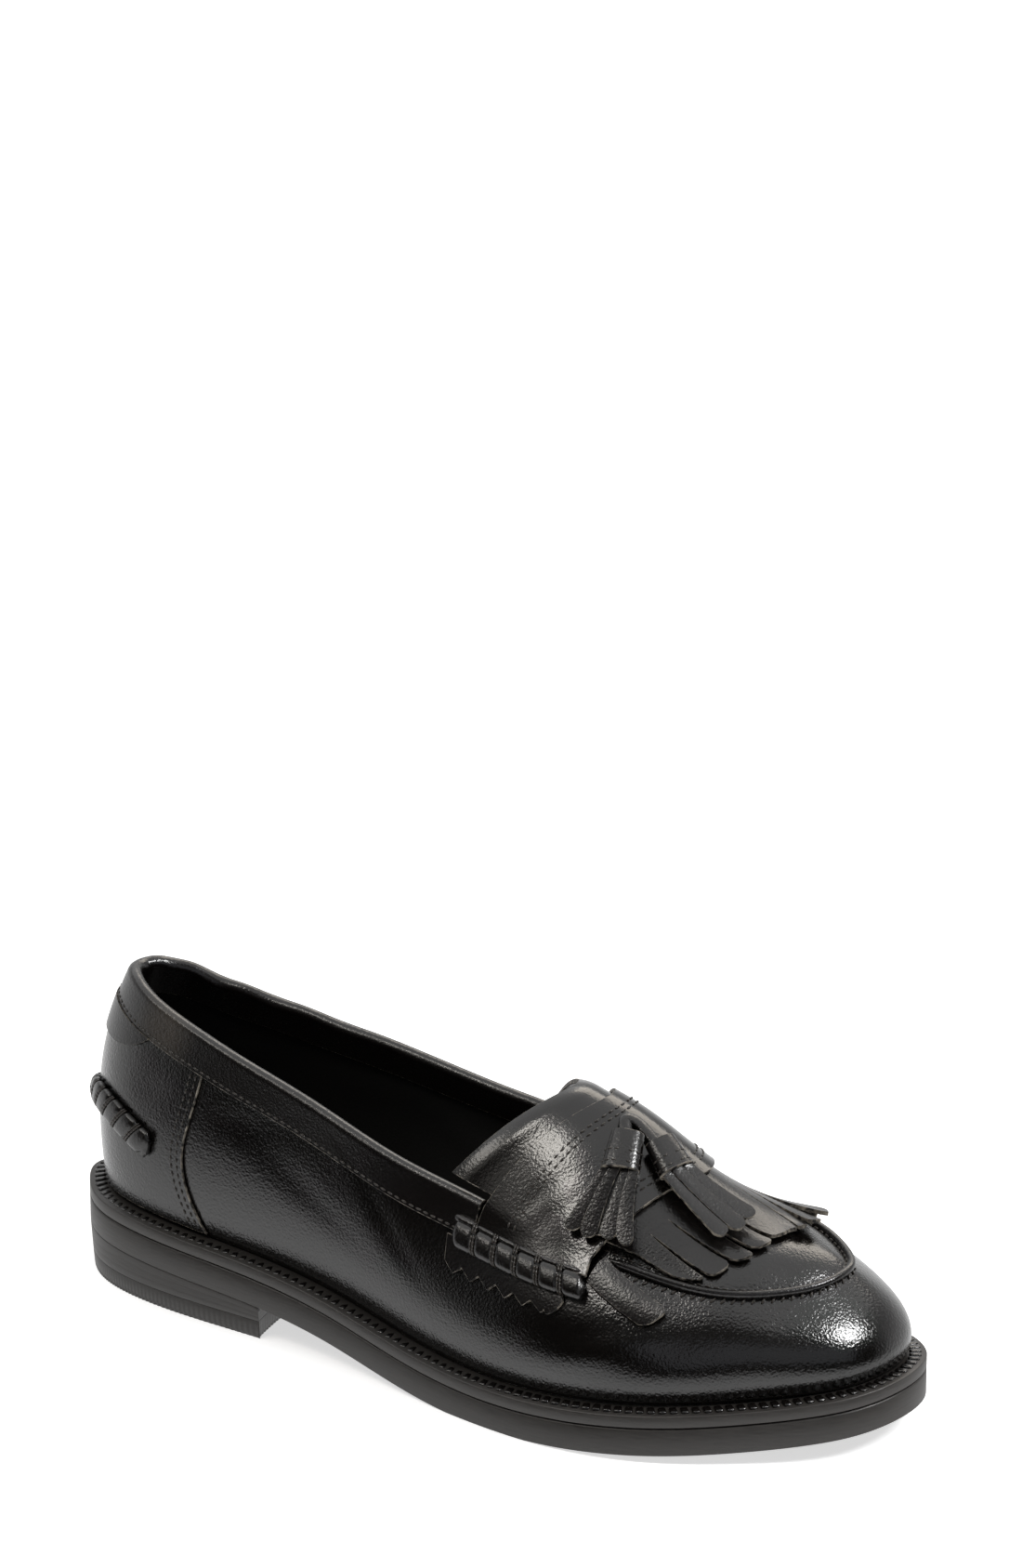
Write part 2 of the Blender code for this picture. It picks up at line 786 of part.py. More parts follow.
# Kiltie: a band under the saddle whose strips fan out over the apron, mirrored on the inner side.
KILTIE_REAR = 0.60
KILTIE_SPLIT = 0.65  # here the seam of the apron comes up between the first two strips
KILTIE_FRONT = 0.69
KILTIE_SIDE = 0.925  # beside the beef roll
FIRST_STRIP_LOW = 0.80  # in front of the beef roll
FIRST_STRIP_TOP = 0.945
Strip = namedtuple("Strip", "low high low_turn low_tip high_turn high_tip outer_lift inner_lift")
STRIPS = [
    Strip(*row)
    for row in (
        (FIRST_STRIP_LOW, FIRST_STRIP_TOP, 0.708, 0.63, 0.734, 0.79, 0.3, 0.3),
        (1.13, 1.29, 0.750, 1.125, 0.768, 1.20, 0.4, 2.0),
        (1.29, 1.46, 0.775, 1.22, 0.790, 1.33, 0.5, 3.6),
        (1.46, 1.64, 0.796, 1.36, 0.808, 1.53, 0.6, 3.2),
        (1.64, 1.83, 0.812, 1.56, 0.822, 1.76, 0.8, 2.4),
    )
]
MIDDLE_STRIP_TURN = 0.828
MIDDLE_STRIP_LIFT = 1.4
STRIP_STEPS = 4
TIP_CUT = 0.12  # share of a strip's length that its corners are cut back


def strip_faces(sheet, names, root, tip, lift):
    """A strip from the band to its cut tip; root and tip give the turn and height of each side."""
    for k in range(1, STRIP_STEPS + 1):
        share = k / STRIP_STEPS
        for j in range(3):
            side = j / 2
            cut = TIP_CUT if k == STRIP_STEPS and j != 1 else 0.0
            along = share - cut
            start = [a + (b - a) * side for a, b in zip(root[0], root[1])]
            end = [a + (b - a) * side for a, b in zip(tip[0], tip[1])]
            turn, height = (a + (b - a) * along for a, b in zip(start, end))
            out = lift * along**2
            sheet.point(
                (names, k, j),
                on_upper(turn, height, KILTIE_LAYER.high + out),
                on_upper(turn, height, KILTIE_LAYER.low + out),
            )
    for k in range(1, STRIP_STEPS):
        for j in range(2):
            sheet.face((names, k, j), (names, k + 1, j), (names, k + 1, j + 1), (names, k, j + 1))


def make_kiltie(shade):
    sheet = Sheet()
    turns = [KILTIE_REAR, KILTIE_SPLIT, KILTIE_FRONT]
    half = [STRIPS[0].low, (STRIPS[0].low + STRIPS[0].high) / 2, STRIPS[0].high]
    for strip in STRIPS[1:]:
        half += [strip.low, (strip.low + strip.high) / 2]
    half += [STRIPS[-1].high, 2.0]
    last = len(half) - 1
    rows = [(height, -1) for height in half] + [(height, 1) for height in reversed(half[:-1])]
    narrowing = (FIRST_STRIP_TOP - KILTIE_SIDE) / (FIRST_STRIP_TOP - FIRST_STRIP_LOW)
    for i, turn in enumerate(turns):
        for j, (height, side) in enumerate(rows):
            if height < FIRST_STRIP_TOP and turn < KILTIE_FRONT:
                height = FIRST_STRIP_TOP - (FIRST_STRIP_TOP - height) * narrowing
            sweep_turn = mirrored(turn + SADDLE_SWEEP * (height - 1), side)
            sheet.point((i, j), *(on_upper(sweep_turn, height, out) for out in KILTIE_LAYER[::-1]))
    seam_rows = (2, len(rows) - 4)
    for i in range(len(turns) - 1):
        for j in range(len(rows) - 1):
            if i == 0 or j not in seam_rows:
                sheet.face((i, j), (i + 1, j), (i + 1, j + 1), (i, j + 1))

    def front(height):
        return KILTIE_FRONT + SADDLE_SWEEP * (height - 1)

    def add_strip(first, strip, side):
        """A strip that starts at three neighbouring points of the band's front edge."""
        name = ("strip", first)
        low, high = (strip.low, strip.high) if side < 0 else (strip.high, strip.low)
        tips = [(strip.low_turn, strip.low_tip), (strip.high_turn, strip.high_tip)]
        if side > 0:
            tips.reverse()
        root = [(mirrored(front(height), side), height) for height in (low, high)]
        tip = [(mirrored(turn, side), height) for turn, height in tips]
        strip_faces(sheet, name, root, tip, strip.outer_lift if side < 0 else strip.inner_lift)
        for j in range(2):
            sheet.face((2, first + j), (name, 1, j), (name, 1, j + 1), (2, first + j + 1))

    starts = [0] + [3 + 2 * k for k in range(len(STRIPS) - 1)]
    for first, strip in zip(starts, STRIPS):
        add_strip(first, strip, -1)
        add_strip(len(rows) - 3 - first, strip, 1)

    # The middle strip runs along the middle line, half on each side.
    edge = STRIPS[-1].high
    name = ("strip", "middle")
    for k in range(1, STRIP_STEPS + 1):
        for j, side in enumerate((-1, 0, 1)):
            share = k / STRIP_STEPS - (TIP_CUT if k == STRIP_STEPS and side else 0.0)
            height = edge if side else 2.0
            start = front(height)
            turn = mirrored(start + (MIDDLE_STRIP_TURN - start) * share, side)
            lift = MIDDLE_STRIP_LIFT * share**2
            sheet.point((name, k, j), *(on_upper(turn, height, out + lift) for out in KILTIE_LAYER[::-1]))
    for j in range(2):
        sheet.face((2, last - 1 + j), (name, 1, j), (name, 1, j + 1), (2, last + j))
        for k in range(1, STRIP_STEPS):
            sheet.face((name, k, j), (name, k + 1, j), (name, k + 1, j + 1), (name, k, j + 1))
    return shell("kiltie", sheet, shade)


# Tassels: a rolled cap and the strips below it, by turn and height of the cap's ends and the strips' tips.
Tassel = namedtuple("Tassel", "name top_turn top cap_turn cap tip_turn tip fan tip_drop")
TASSELS = [
    Tassel("tassel_outer", 0.613, 1.80, 0.634, 1.55, 0.660, 1.13, 9.5, 0.0),
    Tassel("tassel_inner", 0.633, 1.93, 0.664, 1.84, 0.772, 1.66, 8.0, 0.9),
]
CAP_HALF_WIDTH = 5.6
CAP_HEIGHT = 6.5
CAP_EDGE_HEIGHT = 2.2
TASSEL_STRIPS = 4
STRIP_THICKNESS = 2.0
HALF_SLIT = 0.35  # between neighbouring strips
CAP_SECTIONS = (0.0, 0.5, 1.0)


def make_tassel(tassel, shade):
    sheet = Sheet()
    ends = [
        upper_point(turn, height)
        for turn, height in (
            (tassel.top_turn, tassel.top),
            (tassel.cap_turn, tassel.cap),
            (tassel.tip_turn, tassel.tip),
        )
    ]

    def place(station, across, height):
        """Station 0 to 1 along the cap, 1 to 2 along the strips; across in millimetres."""
        share = station if station <= 1 else station - 1
        rows = (
            (tassel.top_turn, tassel.top, tassel.cap_turn, tassel.cap)
            if station <= 1
            else (tassel.cap_turn, tassel.cap, tassel.tip_turn, tassel.tip)
        )
        turn = rows[0] + (rows[2] - rows[0]) * share
        level = rows[1] + (rows[3] - rows[1]) * share
        normal = upper_normal(turn, level)
        axis = ends[1] - ends[0] if station <= 1 else ends[2] - ends[1]
        sideways = np.cross(normal, axis)
        sideways /= np.linalg.norm(sideways)
        drop = tassel.tip_drop * max(0.0, station - 1)
        return upper_point(turn, level) + sideways * across + normal * (TASSEL_LAYER.low + height - drop)

    for i, station in enumerate(CAP_SECTIONS):
        for j in range(TASSEL_STRIPS + 1):
            across = CAP_HALF_WIDTH * (2 * j / TASSEL_STRIPS - 1)
            bulge = (CAP_HEIGHT - CAP_EDGE_HEIGHT) * math.sqrt(1 - (across / CAP_HALF_WIDTH) ** 2)
            sheet.point((i, j), place(station, across, CAP_EDGE_HEIGHT + bulge), place(station, across, 0.0))
    last = len(CAP_SECTIONS) - 1
    for i in range(last):
        for j in range(TASSEL_STRIPS):
            sheet.face((i, j), (i + 1, j), (i + 1, j + 1), (i, j + 1))
    for j in range(TASSEL_STRIPS):
        for k in range(1, STRIP_STEPS + 1):
            share = k / STRIP_STEPS
            half = CAP_HALF_WIDTH + (tassel.fan - CAP_HALF_WIDTH) * share
            for end in range(2):
                slit = HALF_SLIT if end == 0 else -HALF_SLIT
                across = half * (2 * (j + end) / TASSEL_STRIPS - 1) + slit
                station = 1 + share
                sheet.point(
                    ("strip", j, k, end), place(station, across, STRIP_THICKNESS), place(station, across, 0.0)
                )
        sheet.face((last, j), ("strip", j, 1, 0), ("strip", j, 1, 1), (last, j + 1))
        for k in range(1, STRIP_STEPS):
            sheet.face(
                ("strip", j, k, 0), ("strip", j, k + 1, 0), ("strip", j, k + 1, 1), ("strip", j, k, 1)
            )
    return shell(tassel.name, sheet, shade)


# Tassel lace: the thong over the saddle between the two caps.
LACE_WIDTH = 3.6
LACE_LAYER = Layer(4.1, 5.7)
LACE_ROUTE = ((0.6085, 1.835), (0.603, 1.88), (0.608, 1.92), (0.6285, 1.94))  # turn and height


def make_lace(shade):
    rings = []
    for k, (turn, height) in enumerate(LACE_ROUTE):
        here = upper_point(turn, height)
        before = upper_point(*LACE_ROUTE[max(0, k - 1)])
        after = upper_point(*LACE_ROUTE[min(len(LACE_ROUTE) - 1, k + 1)])
        normal = upper_normal(turn, height)
        across = np.cross(normal, after - before)
        across *= LACE_WIDTH / 2 / np.linalg.norm(across)
        rings.append(
            [
                here - across + normal * LACE_LAYER.low,
                here + across + normal * LACE_LAYER.low,
                here + across + normal * LACE_LAYER.high,
                here - across + normal * LACE_LAYER.high,
            ]
        )
    return sweep("tassel_lace", rings, shade, closed=False)


def main():
    for item in list(bpy.data.objects):
        bpy.data.objects.remove(item)
    leather = material("black_brush_off_leather", (0.012, 0.011, 0.011), 0.22)
    lining = material("black_lining_leather", (0.010, 0.009, 0.009), 0.6)
    sole_leather = material("black_edge_dressed_leather", (0.030, 0.029, 0.028), 0.45)
    rubber = material("black_heel_rubber", (0.020, 0.020, 0.020), 0.7)
    make_outsole(sole_leather)
    make_welt(sole_leather)
    make_heel(sole_leather, rubber)
    make_insole(lining)
    make_upper(leather)
    make_tongue(leather)
    make_binding(leather)
    make_counter(leather)
    make_back_tab(leather)
    make_heel_roll(leather)
    make_saddle(leather)
    make_kiltie(leather)
    for word, side in (("outer", -1), ("inner", 1)):
        make_beef_roll(f"beef_roll_{word}", leather, side)
        make_pinked_tab(f"pinked_tab_{word}", leather, side)
    for tassel in TASSELS:
        make_tassel(tassel, leather)
    make_lace(leather)


main()
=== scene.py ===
import math

import bmesh
import bpy
import numpy as np
from mathutils import Matrix, Vector


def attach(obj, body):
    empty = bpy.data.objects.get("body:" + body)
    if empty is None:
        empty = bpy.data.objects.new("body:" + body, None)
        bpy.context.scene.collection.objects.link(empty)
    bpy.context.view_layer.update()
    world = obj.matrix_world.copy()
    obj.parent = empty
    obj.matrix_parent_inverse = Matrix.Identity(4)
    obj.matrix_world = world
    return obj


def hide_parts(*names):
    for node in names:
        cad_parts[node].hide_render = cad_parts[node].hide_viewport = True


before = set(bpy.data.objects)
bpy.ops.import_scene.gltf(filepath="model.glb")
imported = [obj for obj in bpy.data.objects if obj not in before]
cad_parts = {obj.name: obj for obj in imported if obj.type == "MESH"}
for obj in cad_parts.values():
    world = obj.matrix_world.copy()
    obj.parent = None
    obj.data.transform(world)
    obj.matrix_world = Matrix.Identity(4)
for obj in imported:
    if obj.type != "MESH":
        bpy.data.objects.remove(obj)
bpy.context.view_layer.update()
print("frame loaded:", len(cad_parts), "solids")

# Lengths are in millimetres in the last's own frame: x from the back of the heel, z from the floor.
mm = 0.001
lastShift = np.array([-131.0, 2.635, 0.0])  # puts the last over the frame's origin
up = np.array([0.0, 0.0, 1.0])

# The last, as in the solids: one row for each section.
soleRows = {
    "x": (0, 3, 12, 28, 48, 72, 100, 130, 160, 185, 210, 230, 247, 257, 262),
    "outer": (2.6, -5.6, -16.2, -24.1, -28.1, -30.3, -33.6, -40.6, -47.3, -49, -43.8, -33.4, -21.8, -10.9, 7),
    "inner": (2.6, 11.2, 21.6, 30, 33.3, 32.5, 28.8, 27.5, 33.5, 41, 43.8, 40.5, 32.5, 23, 7),
    "top": (25.4, 25.3, 24.9, 24.3, 23.3, 21.6, 17.8, 12.9, 11.2, 12.1, 13.7, 15.3, 17.2, 18.7, 19.7),
}
edgeRows = {
    "x": (15.5, 20, 27, 37, 50, 65, 90, 120, 150, 170, 190, 205, 220, 231, 238, 241.5),
    "outer": (3, -5.2, -10.2, -14, -17.5, -20.3, -23.4, -27.2, -28.6, -30.6, -29.6, -26.6, -21.8, -13.2, -5, 6),
    "inner": (3, 11, 15.8, 19, 22, 24.3, 26, 28.4, 29, 28.4, 27.6, 27, 24.8, 19.6, 13.5, 6),
    "outerZ": (89.3, 89, 87, 84.1, 81, 77.2, 70.6, 61.9, 55.2, 50.5, 46.5, 43.2, 41.6, 41.4, 42, 43.4),
    "innerZ": (89.3, 88.6, 85.8, 82, 78.7, 75.1, 70.6, 64, 58.6, 52.5, 49, 47.2, 46, 44.7, 44, 43.4),
}
spineRows = {
    "edgeX": (150, 168, 186, 205, 222, 241.5),
    "x": (164, 181, 197.5, 210.5, 219.5, 226),
    "y": (2, 2.5, 3, 4, 5, 5.8),
    "z": (78.6, 72, 63.4, 57, 52.8, 50.2),
}
wallRows = {
    "x": (0, 50, 100, 150, 185, 215, 240, 262),
    "bulge": (3, 3.5, 4, 4.5, 5, 5.5, 5.5, 5.5),
    "lean": (66, 78, 82, 70, 50, 42, 40, 38),
}
last = {
    "soleThickness": 11.5,
    "weltThickness": 3.5,
    "weltRise": 0.8,
    "featherInset": 5.6,
    "wall": 1.6,
    "wallRise": 0.45,
    "wallReach": 0.36,
    "gap": 0.3,
    "throat": 23 / 41,  # turn at which the collar ends and the instep starts
    "turnLength": 360,  # about so many millimetres to one turn
    "wallHeight": 45,  # and to the height of the wall
}
shoeSides = (("outer", -1), ("inner", 1))


def splineThrough(knots, values):  # natural cubic, for one number or an array
    knots, values = np.array(knots, float), np.array(values, float)
    steps = np.diff(knots)
    rises = np.diff(values) / steps
    matrix, right = np.eye(len(knots)), np.zeros(len(knots))
    for i in range(1, len(knots) - 1):
        matrix[i, i - 1 : i + 2] = steps[i - 1], 2 * (steps[i - 1] + steps[i]), steps[i]
        right[i] = 6 * (rises[i] - rises[i - 1])
    bends = np.linalg.solve(matrix, right)

    def at(knot):
        i = np.clip(np.searchsorted(knots, knot) - 1, 0, len(steps) - 1)
        before, after = knot - knots[i], knots[i + 1] - knot
        curved = (bends[i] * after**3 + bends[i + 1] * before**3) / (6 * steps[i])
        ahead = (values[i + 1] / steps[i] - bends[i + 1] * steps[i] / 6) * before
        return curved + ahead + (values[i] / steps[i] - bends[i] * steps[i] / 6) * after

    return at


def roundX(rows, turn):  # turn 0 heel, 0 to 1 outer side, 1 toe, 1 to 2 inner side
    x = rows["x"]
    return x[0] + (x[-1] - x[0]) * (1 - np.cos(np.pi * turn)) / 2


def ringThrough(rows, outer, inner):
    x = np.array(rows["x"], float)
    turns = list(np.arccos(1 - 2 * (x - x[0]) / (x[-1] - x[0])) / np.pi)
    knots = turns + [2 - turn for turn in turns[-2:0:-1]]
    values = list(rows[outer]) + list(rows[inner])[-2:0:-1]
    curve = splineThrough([k - 2 for k in knots] + knots + [k + 2 for k in knots], values * 3)
    return lambda turn: curve(np.mod(turn, 2))


weltTop = splineThrough(soleRows["x"], soleRows["top"])
soleY = ringThrough(soleRows, "outer", "inner")
edgeY = ringThrough(edgeRows, "outer", "inner")
edgeZ = ringThrough(edgeRows, "outerZ", "innerZ")
spineAt = [splineThrough(spineRows["edgeX"], spineRows[axis]) for axis in "xyz"]
wallBulge = splineThrough(wallRows["x"], wallRows["bulge"])
wallLean = splineThrough(wallRows["x"], wallRows["lean"])


def triple(x, y, z):
    return np.stack(np.broadcast_arrays(x, y, z), axis=-1)


def scaled(amount, vector):
    return np.asarray(amount)[..., None] * vector


def unit(vector):
    return vector / np.linalg.norm(vector, axis=-1, keepdims=True)


def solePlan(turn):
    return triple(roundX(soleRows, turn), soleY(turn), 0.0)


def inward(turn):
    along = solePlan(turn + 0.002) - solePlan(turn - 0.002)
    return unit(triple(-along[..., 1], along[..., 0], 0.0))


def soleEdge(turn, inset):
    return solePlan(turn) + scaled(inset, inward(turn))


def soleBottom(x):
    return np.maximum(0.0, weltTop(x) - last["soleThickness"])


def edgePoint(turn):
    return triple(roundX(edgeRows, turn), edgeY(turn), edgeZ(turn))


def wallPoint(turn, share):
    low = soleEdge(turn, last["featherInset"])
    low = low + scaled(weltTop(low[..., 0]) + last["weltRise"] + last["gap"], up)
    high = edgePoint(turn)
    into = inward(turn)
    station = roundX(soleRows, turn)
    lean = np.radians(wallLean(station))
    rise = last["wallRise"] * (high[..., 2] - low[..., 2])
    lowHandle = low + scaled(rise, up) - scaled(wallBulge(station), into)
    reach = last["wallReach"] * np.linalg.norm(high - low, axis=-1)
    highHandle = high - scaled(reach * np.cos(lean), into) - scaled(reach * np.sin(lean), up)
    rest = 1 - share
    ends = scaled(rest**3, low) + scaled(share**3, high)
    return ends + scaled(3 * rest**2 * share, lowHandle) + scaled(3 * rest * share**2, highHandle)


def domePoint(turn, share):
    low = edgePoint(turn)
    high = triple(*(curve(low[..., 0]) for curve in spineAt))
    point = low + scaled(share, high - low)
    point[..., 0] += (high[..., 0] - low[..., 0]) * share**4 * (1 - share)  # no ridge on the middle line
    point[..., 2] = low[..., 2] + (high[..., 2] - low[..., 2]) * (1 - (1 - share) ** 2)
    return point


def upperPoint(turn, height):  # height 0 to 1 up the wall, 1 to 2 over the apron to its middle line
    turn, height = np.broadcast_arrays(np.asarray(turn, float), np.asarray(height, float))
    wall = wallPoint(turn, np.minimum(height, 1.0))
    dome = domePoint(turn, np.maximum(height - 1, 0.0))
    return np.where((height <= 1)[..., None], wall, dome)


def upperNormal(turn, height):
    turn, height = np.broadcast_arrays(np.asarray(turn, float), np.asarray(height, float))
    step = 0.004
    low = np.minimum(height, 2 - 2 * step)
    along = upperPoint(turn + step, low) - upperPoint(turn - step, low)
    rise = upperPoint(turn, low + step) - upperPoint(turn, low - step)
    normal = unit(np.cross(along, rise))
    middle = np.clip((height - 1.9) / 0.1, 0, 1)  # both sides agree on the middle line
    level = normal * np.array([1.0, 0.0, 1.0])
    return unit(normal + scaled(middle, level - normal))


# Creases worn or pulled into the leather: turn and height of the middle, half length and half width in mm,
# lean in degrees from the foot's length, depth in mm (below 0 a trough, above 0 a ridge).
creases = (
    (0.470, 0.60, 16, 3.4, -38, -0.40),
    (0.455, 0.66, 14, 3.2, -38, 0.25),
    (0.395, 0.50, 24, 5.0, -16, -0.30),
    (0.330, 0.70, 17, 4.5, 12, -0.25),
    (0.210, 0.62, 11, 4.0, 10, -0.25),
    (0.640, 0.42, 17, 4.0, 20, -0.30),
    (0.668, 0.36, 15, 3.6, 24, 0.20),
    (0.720, 0.40, 15, 4.5, 30, -0.22),
    (0.598, 1.20, 9, 2.6, 70, -0.10),
    (0.615, 1.12, 8, 2.4, 66, -0.08),
    (0.585, 2.00, 24, 20, 0, 1.5),  # full crest over the instep, from both sides
    (1.415, 2.00, 24, 20, 0, 1.5),
    (1.330, 0.42, 17, 4.0, -22, -0.35),
    (1.365, 0.48, 15, 3.6, -20, 0.22),
    (1.540, 0.55, 22, 5.0, 20, -0.35),
    (1.640, 0.66, 18, 4.5, -10, -0.30),
    (1.780, 0.62, 12, 4.0, -8, -0.25),
)


def creaseOut(turn, height):
    total = np.zeros(np.broadcast(turn, height).shape)
    for middleTurn, middleHeight, half, wide, lean, depth in creases:
        along = (np.mod(turn - middleTurn + 1, 2) - 1) * last["turnLength"]
        rise = (height - middleHeight) * last["wallHeight"]
        ahead, aside = math.cos(math.radians(lean)), math.sin(math.radians(lean))
        down, across = along * ahead + rise * aside, rise * ahead - along * aside
        total += depth * np.exp(-((down / half) ** 2) - (across / wide) ** 2)
    return total


def onUpper(turn, height, out):
    return upperPoint(turn, height) + scaled(out + creaseOut(turn, height), upperNormal(turn, height))


def bothSides(turn, side):  # the same turn on the outer (-1) or the inner (1) side
    return np.where(np.asarray(side) < 0, turn, 2 - np.asarray(turn))


# Materials
def linear(code):
    parts = [int(code[i : i + 2], 16) / 255 for i in (1, 3, 5)]
    return tuple(c / 12.92 if c <= 0.04045 else ((c + 0.055) / 1.055) ** 2.4 for c in parts) + (1.0,)


def setInputs(tree, node, **inputs):  # a value or a link for each socket, by name or as _number
    for key, value in inputs.items():
        socket = node.inputs[int(key[1:])] if key[1:].isdigit() else node.inputs[key.replace("_", " ")]
        if isinstance(value, bpy.types.NodeSocket):
            tree.links.new(value, socket)
        else:
            socket.default_value = value


def addNode(tree, kind, settings=None, **inputs):
    node = tree.nodes.new(kind)
    for key, value in (settings or {}).items():
        setattr(node, key, value)
    setInputs(tree, node, **inputs)
    return node


def startMaterial(name):
    material = bpy.data.materials.new(name)
    material.use_nodes = True
    tree = material.node_tree
    place = addNode(tree, "ShaderNodeTexCoord").outputs["Object"]
    return material, tree, tree.nodes["Principled BSDF"], place


def perMm(size):  # scale of a pattern whose cells are this many millimetres wide
    return 1 / (size * mm)


def noise(tree, place, size, detail):
    return addNode(tree, "ShaderNodeTexNoise", Vector=place, Scale=perMm(size), Detail=detail).outputs["Fac"]


def blend(tree, share, dark, pale):
    return addNode(tree, "ShaderNodeMix", {"data_type": "RGBA"}, Factor=share, _6=dark, _7=pale).outputs[2]


def remap(tree, value, **ends):
    return addNode(tree, "ShaderNodeMapRange", Value=value, **ends).outputs[0]


def relief(tree, height, strength, depth, **under):  # depth in millimetres
    under.update(Height=height, Strength=strength, Distance=depth * mm)
    return addNode(tree, "ShaderNodeBump", **under).outputs[0]


# Sizes of the patterns in millimetres, strength and depth of the slow waves, reach of the rubbed patch.
leatherLook = {
    "patch": 22, "grain": 0.75, "pores": 0.5, "waves": 9, "waveBump": (0.25, 0.25), "rubbed": (3, 13),
}


def blackLeather(name, dark, warm, rough, coat, grainDepth, rubbed=None):
    # High-shine corrected-grain leather, waxed and brushed: near black, warm where thin, a fine
    # pebbled grain that breaks up highlights under a clear glossy finish.
    material, tree, shader, place = startMaterial(name)
    patch = noise(tree, place, leatherLook["patch"], 3.0)
    colour = blend(tree, patch, linear(dark), linear(warm))
    if rubbed:  # a grey-brown patch where the polish is worn off
        near, far = leatherLook["rubbed"]
        away = addNode(tree, "ShaderNodeVectorMath", {"operation": "DISTANCE"}, _0=place, _1=rubbed)
        fade = {"From_Min": near * mm, "From_Max": far * mm, "To_Min": 0.5, "To_Max": 0.0}
        worn = remap(tree, away.outputs["Value"], **fade)
        dull = addNode(tree, "ShaderNodeMath", {"operation": "MULTIPLY"}, _0=worn, _1=patch)
        colour = blend(tree, dull.outputs[0], colour, linear("#4a4238"))
    cells = {"Vector": place, "Scale": perMm(leatherLook["grain"])}
    grain = addNode(tree, "ShaderNodeTexVoronoi", {"feature": "SMOOTH_F1"}, **cells)
    pores = noise(tree, place, leatherLook["pores"], 2.0)
    fine = addNode(tree, "ShaderNodeMath", {"operation": "ADD"}, _0=grain.outputs["Distance"], _1=pores)
    slow = relief(tree, noise(tree, place, leatherLook["waves"], 2.0), *leatherLook["waveBump"])
    skin = relief(tree, fine.outputs[0], 0.7, grainDepth, Normal=slow)
    spread = remap(tree, patch, To_Min=rough - 0.05, To_Max=rough + 0.08)
    setInputs(tree, shader, Base_Color=colour, Normal=skin, Coat_Normal=skin, Roughness=spread)
    setInputs(tree, shader, IOR=1.5, Coat_Weight=coat, Coat_Roughness=0.06, Coat_IOR=1.5)
    return material


def fibreMaterial(name, dark, pale, pattern, bump, rough, ior=1.5, worn=None, stretch=None):
    # pattern: size and detail; bump: strength and depth; worn: where the pattern goes from dark to pale
    material, tree, shader, place = startMaterial(name)
    if stretch:
        place = addNode(tree, "ShaderNodeMapping", Vector=place, Scale=stretch).outputs[0]
    fibre = noise(tree, place, *pattern)
    share = remap(tree, fibre, From_Min=worn[0], From_Max=worn[1]) if worn else fibre
    spread = remap(tree, fibre, To_Min=rough[0], To_Max=rough[1]) if isinstance(rough, tuple) else rough
    setInputs(tree, shader, Base_Color=blend(tree, share, linear(dark), linear(pale)), Roughness=spread)
    setInputs(tree, shader, Normal=relief(tree, fibre, *bump), IOR=ior)
    return material


leather = blackLeather("blackBrushOffLeather", "#050505", "#0b0806", 0.15, 0.55, 0.10)
saddleLeather = blackLeather("blackPolishedSaddleLeather", "#060505", "#0d0a08", 0.16, 0.45, 0.045)
strapLeather = blackLeather("blackStrapLeather", "#060505", "#0e0a08", 0.25, 0.35, 0.08)
rubPlace = [float(value) for value in (onUpper(0.205, 0.93, 1.4) + lastShift) * mm]
collarLeather = blackLeather("blackRubbedCollarLeather", "#060505", "#0e0a08", 0.25, 0.35, 0.08, rubPlace)
# Unglazed lining leather: matt, almost black, with a faint nap.
lining = fibreMaterial("blackLiningLeather", "#050403", "#0a0806", (0.8, 4.0), (0.4, 0.1), 0.62, 1.45)
# Raw cut edge of dyed leather: paler grey-brown fibre, rough, broken by the knife. The bevels along every sheet's
# edges take it too, as a painted edge highlight.
cutWorn = (0.40, 0.66)
cutEdgeAndEdgeHighlight = fibreMaterial("rawCutEdgeAndPaintedEdgeHighlight", "#100d0b", "#827b70", (1.6, 5.0), (0.7, 0.2), 0.5, worn=cutWorn)
# Waxed black thread: twisted, satin; its fibres are greyed towards pale brown as a painted glint, so the stitches
# read on the black leather.
thread = fibreMaterial("waxedBlackThreadWithPaintedGlint", "#12100f", "#38322c", (0.4, 2.0), (0.5, 0.12), 0.30)
# Trimmed and inked sole leather, and rubber ground like it: satin charcoal with fine level streaks.
inked = {"pattern": (0.7, 5.0), "bump": (0.35, 0.15), "stretch": (0.12, 0.12, 1.0)}
soleSide = fibreMaterial("inkedSoleLeather", "#211f1e", "#35322f", rough=(0.32, 0.52), **inked)
weltSide = fibreMaterial("inkedWeltLeather", "#232120", "#383532", rough=(0.30, 0.50), **inked)
heelRubber = fibreMaterial("blackHeelRubber", "#211f1e", "#35322f", rough=(0.34, 0.54), **inked)
# Slots of a sheet: outer face, inner face, cut edge (the cut edge colour also lies on the bevels as a painted edge
# highlight).
sheetSlots = [strapLeather, lining, cutEdgeAndEdgeHighlight]
shellSlots = [leather, lining, cutEdgeAndEdgeHighlight]
collarSlots = [collarLeather, lining, cutEdgeAndEdgeHighlight]
instepSlots = [saddleLeather, lining, cutEdgeAndEdgeHighlight]
print("materials ready")


# Making pieces
def drape(bm, columns, rows, place, *settings):  # a grid whose crossings are put in place by their two shares
    made = bmesh.ops.create_grid(bm, x_segments=columns, y_segments=rows, size=1.0)["verts"]
    shares = np.array([v.co[:2] for v in made]) / 2 + 0.5
    spots = (place(shares[:, 0], shares[:, 1], *settings) + lastShift) * mm
    for v, spot in zip(made, spots):
        v.co = spot
    return made


def joinVerts(bm):
    bmesh.ops.remove_doubles(bm, verts=bm.verts, dist=0.02 * mm)


def weld(bm):
    joinVerts(bm)
    bmesh.ops.recalc_face_normals(bm, faces=bm.faces)


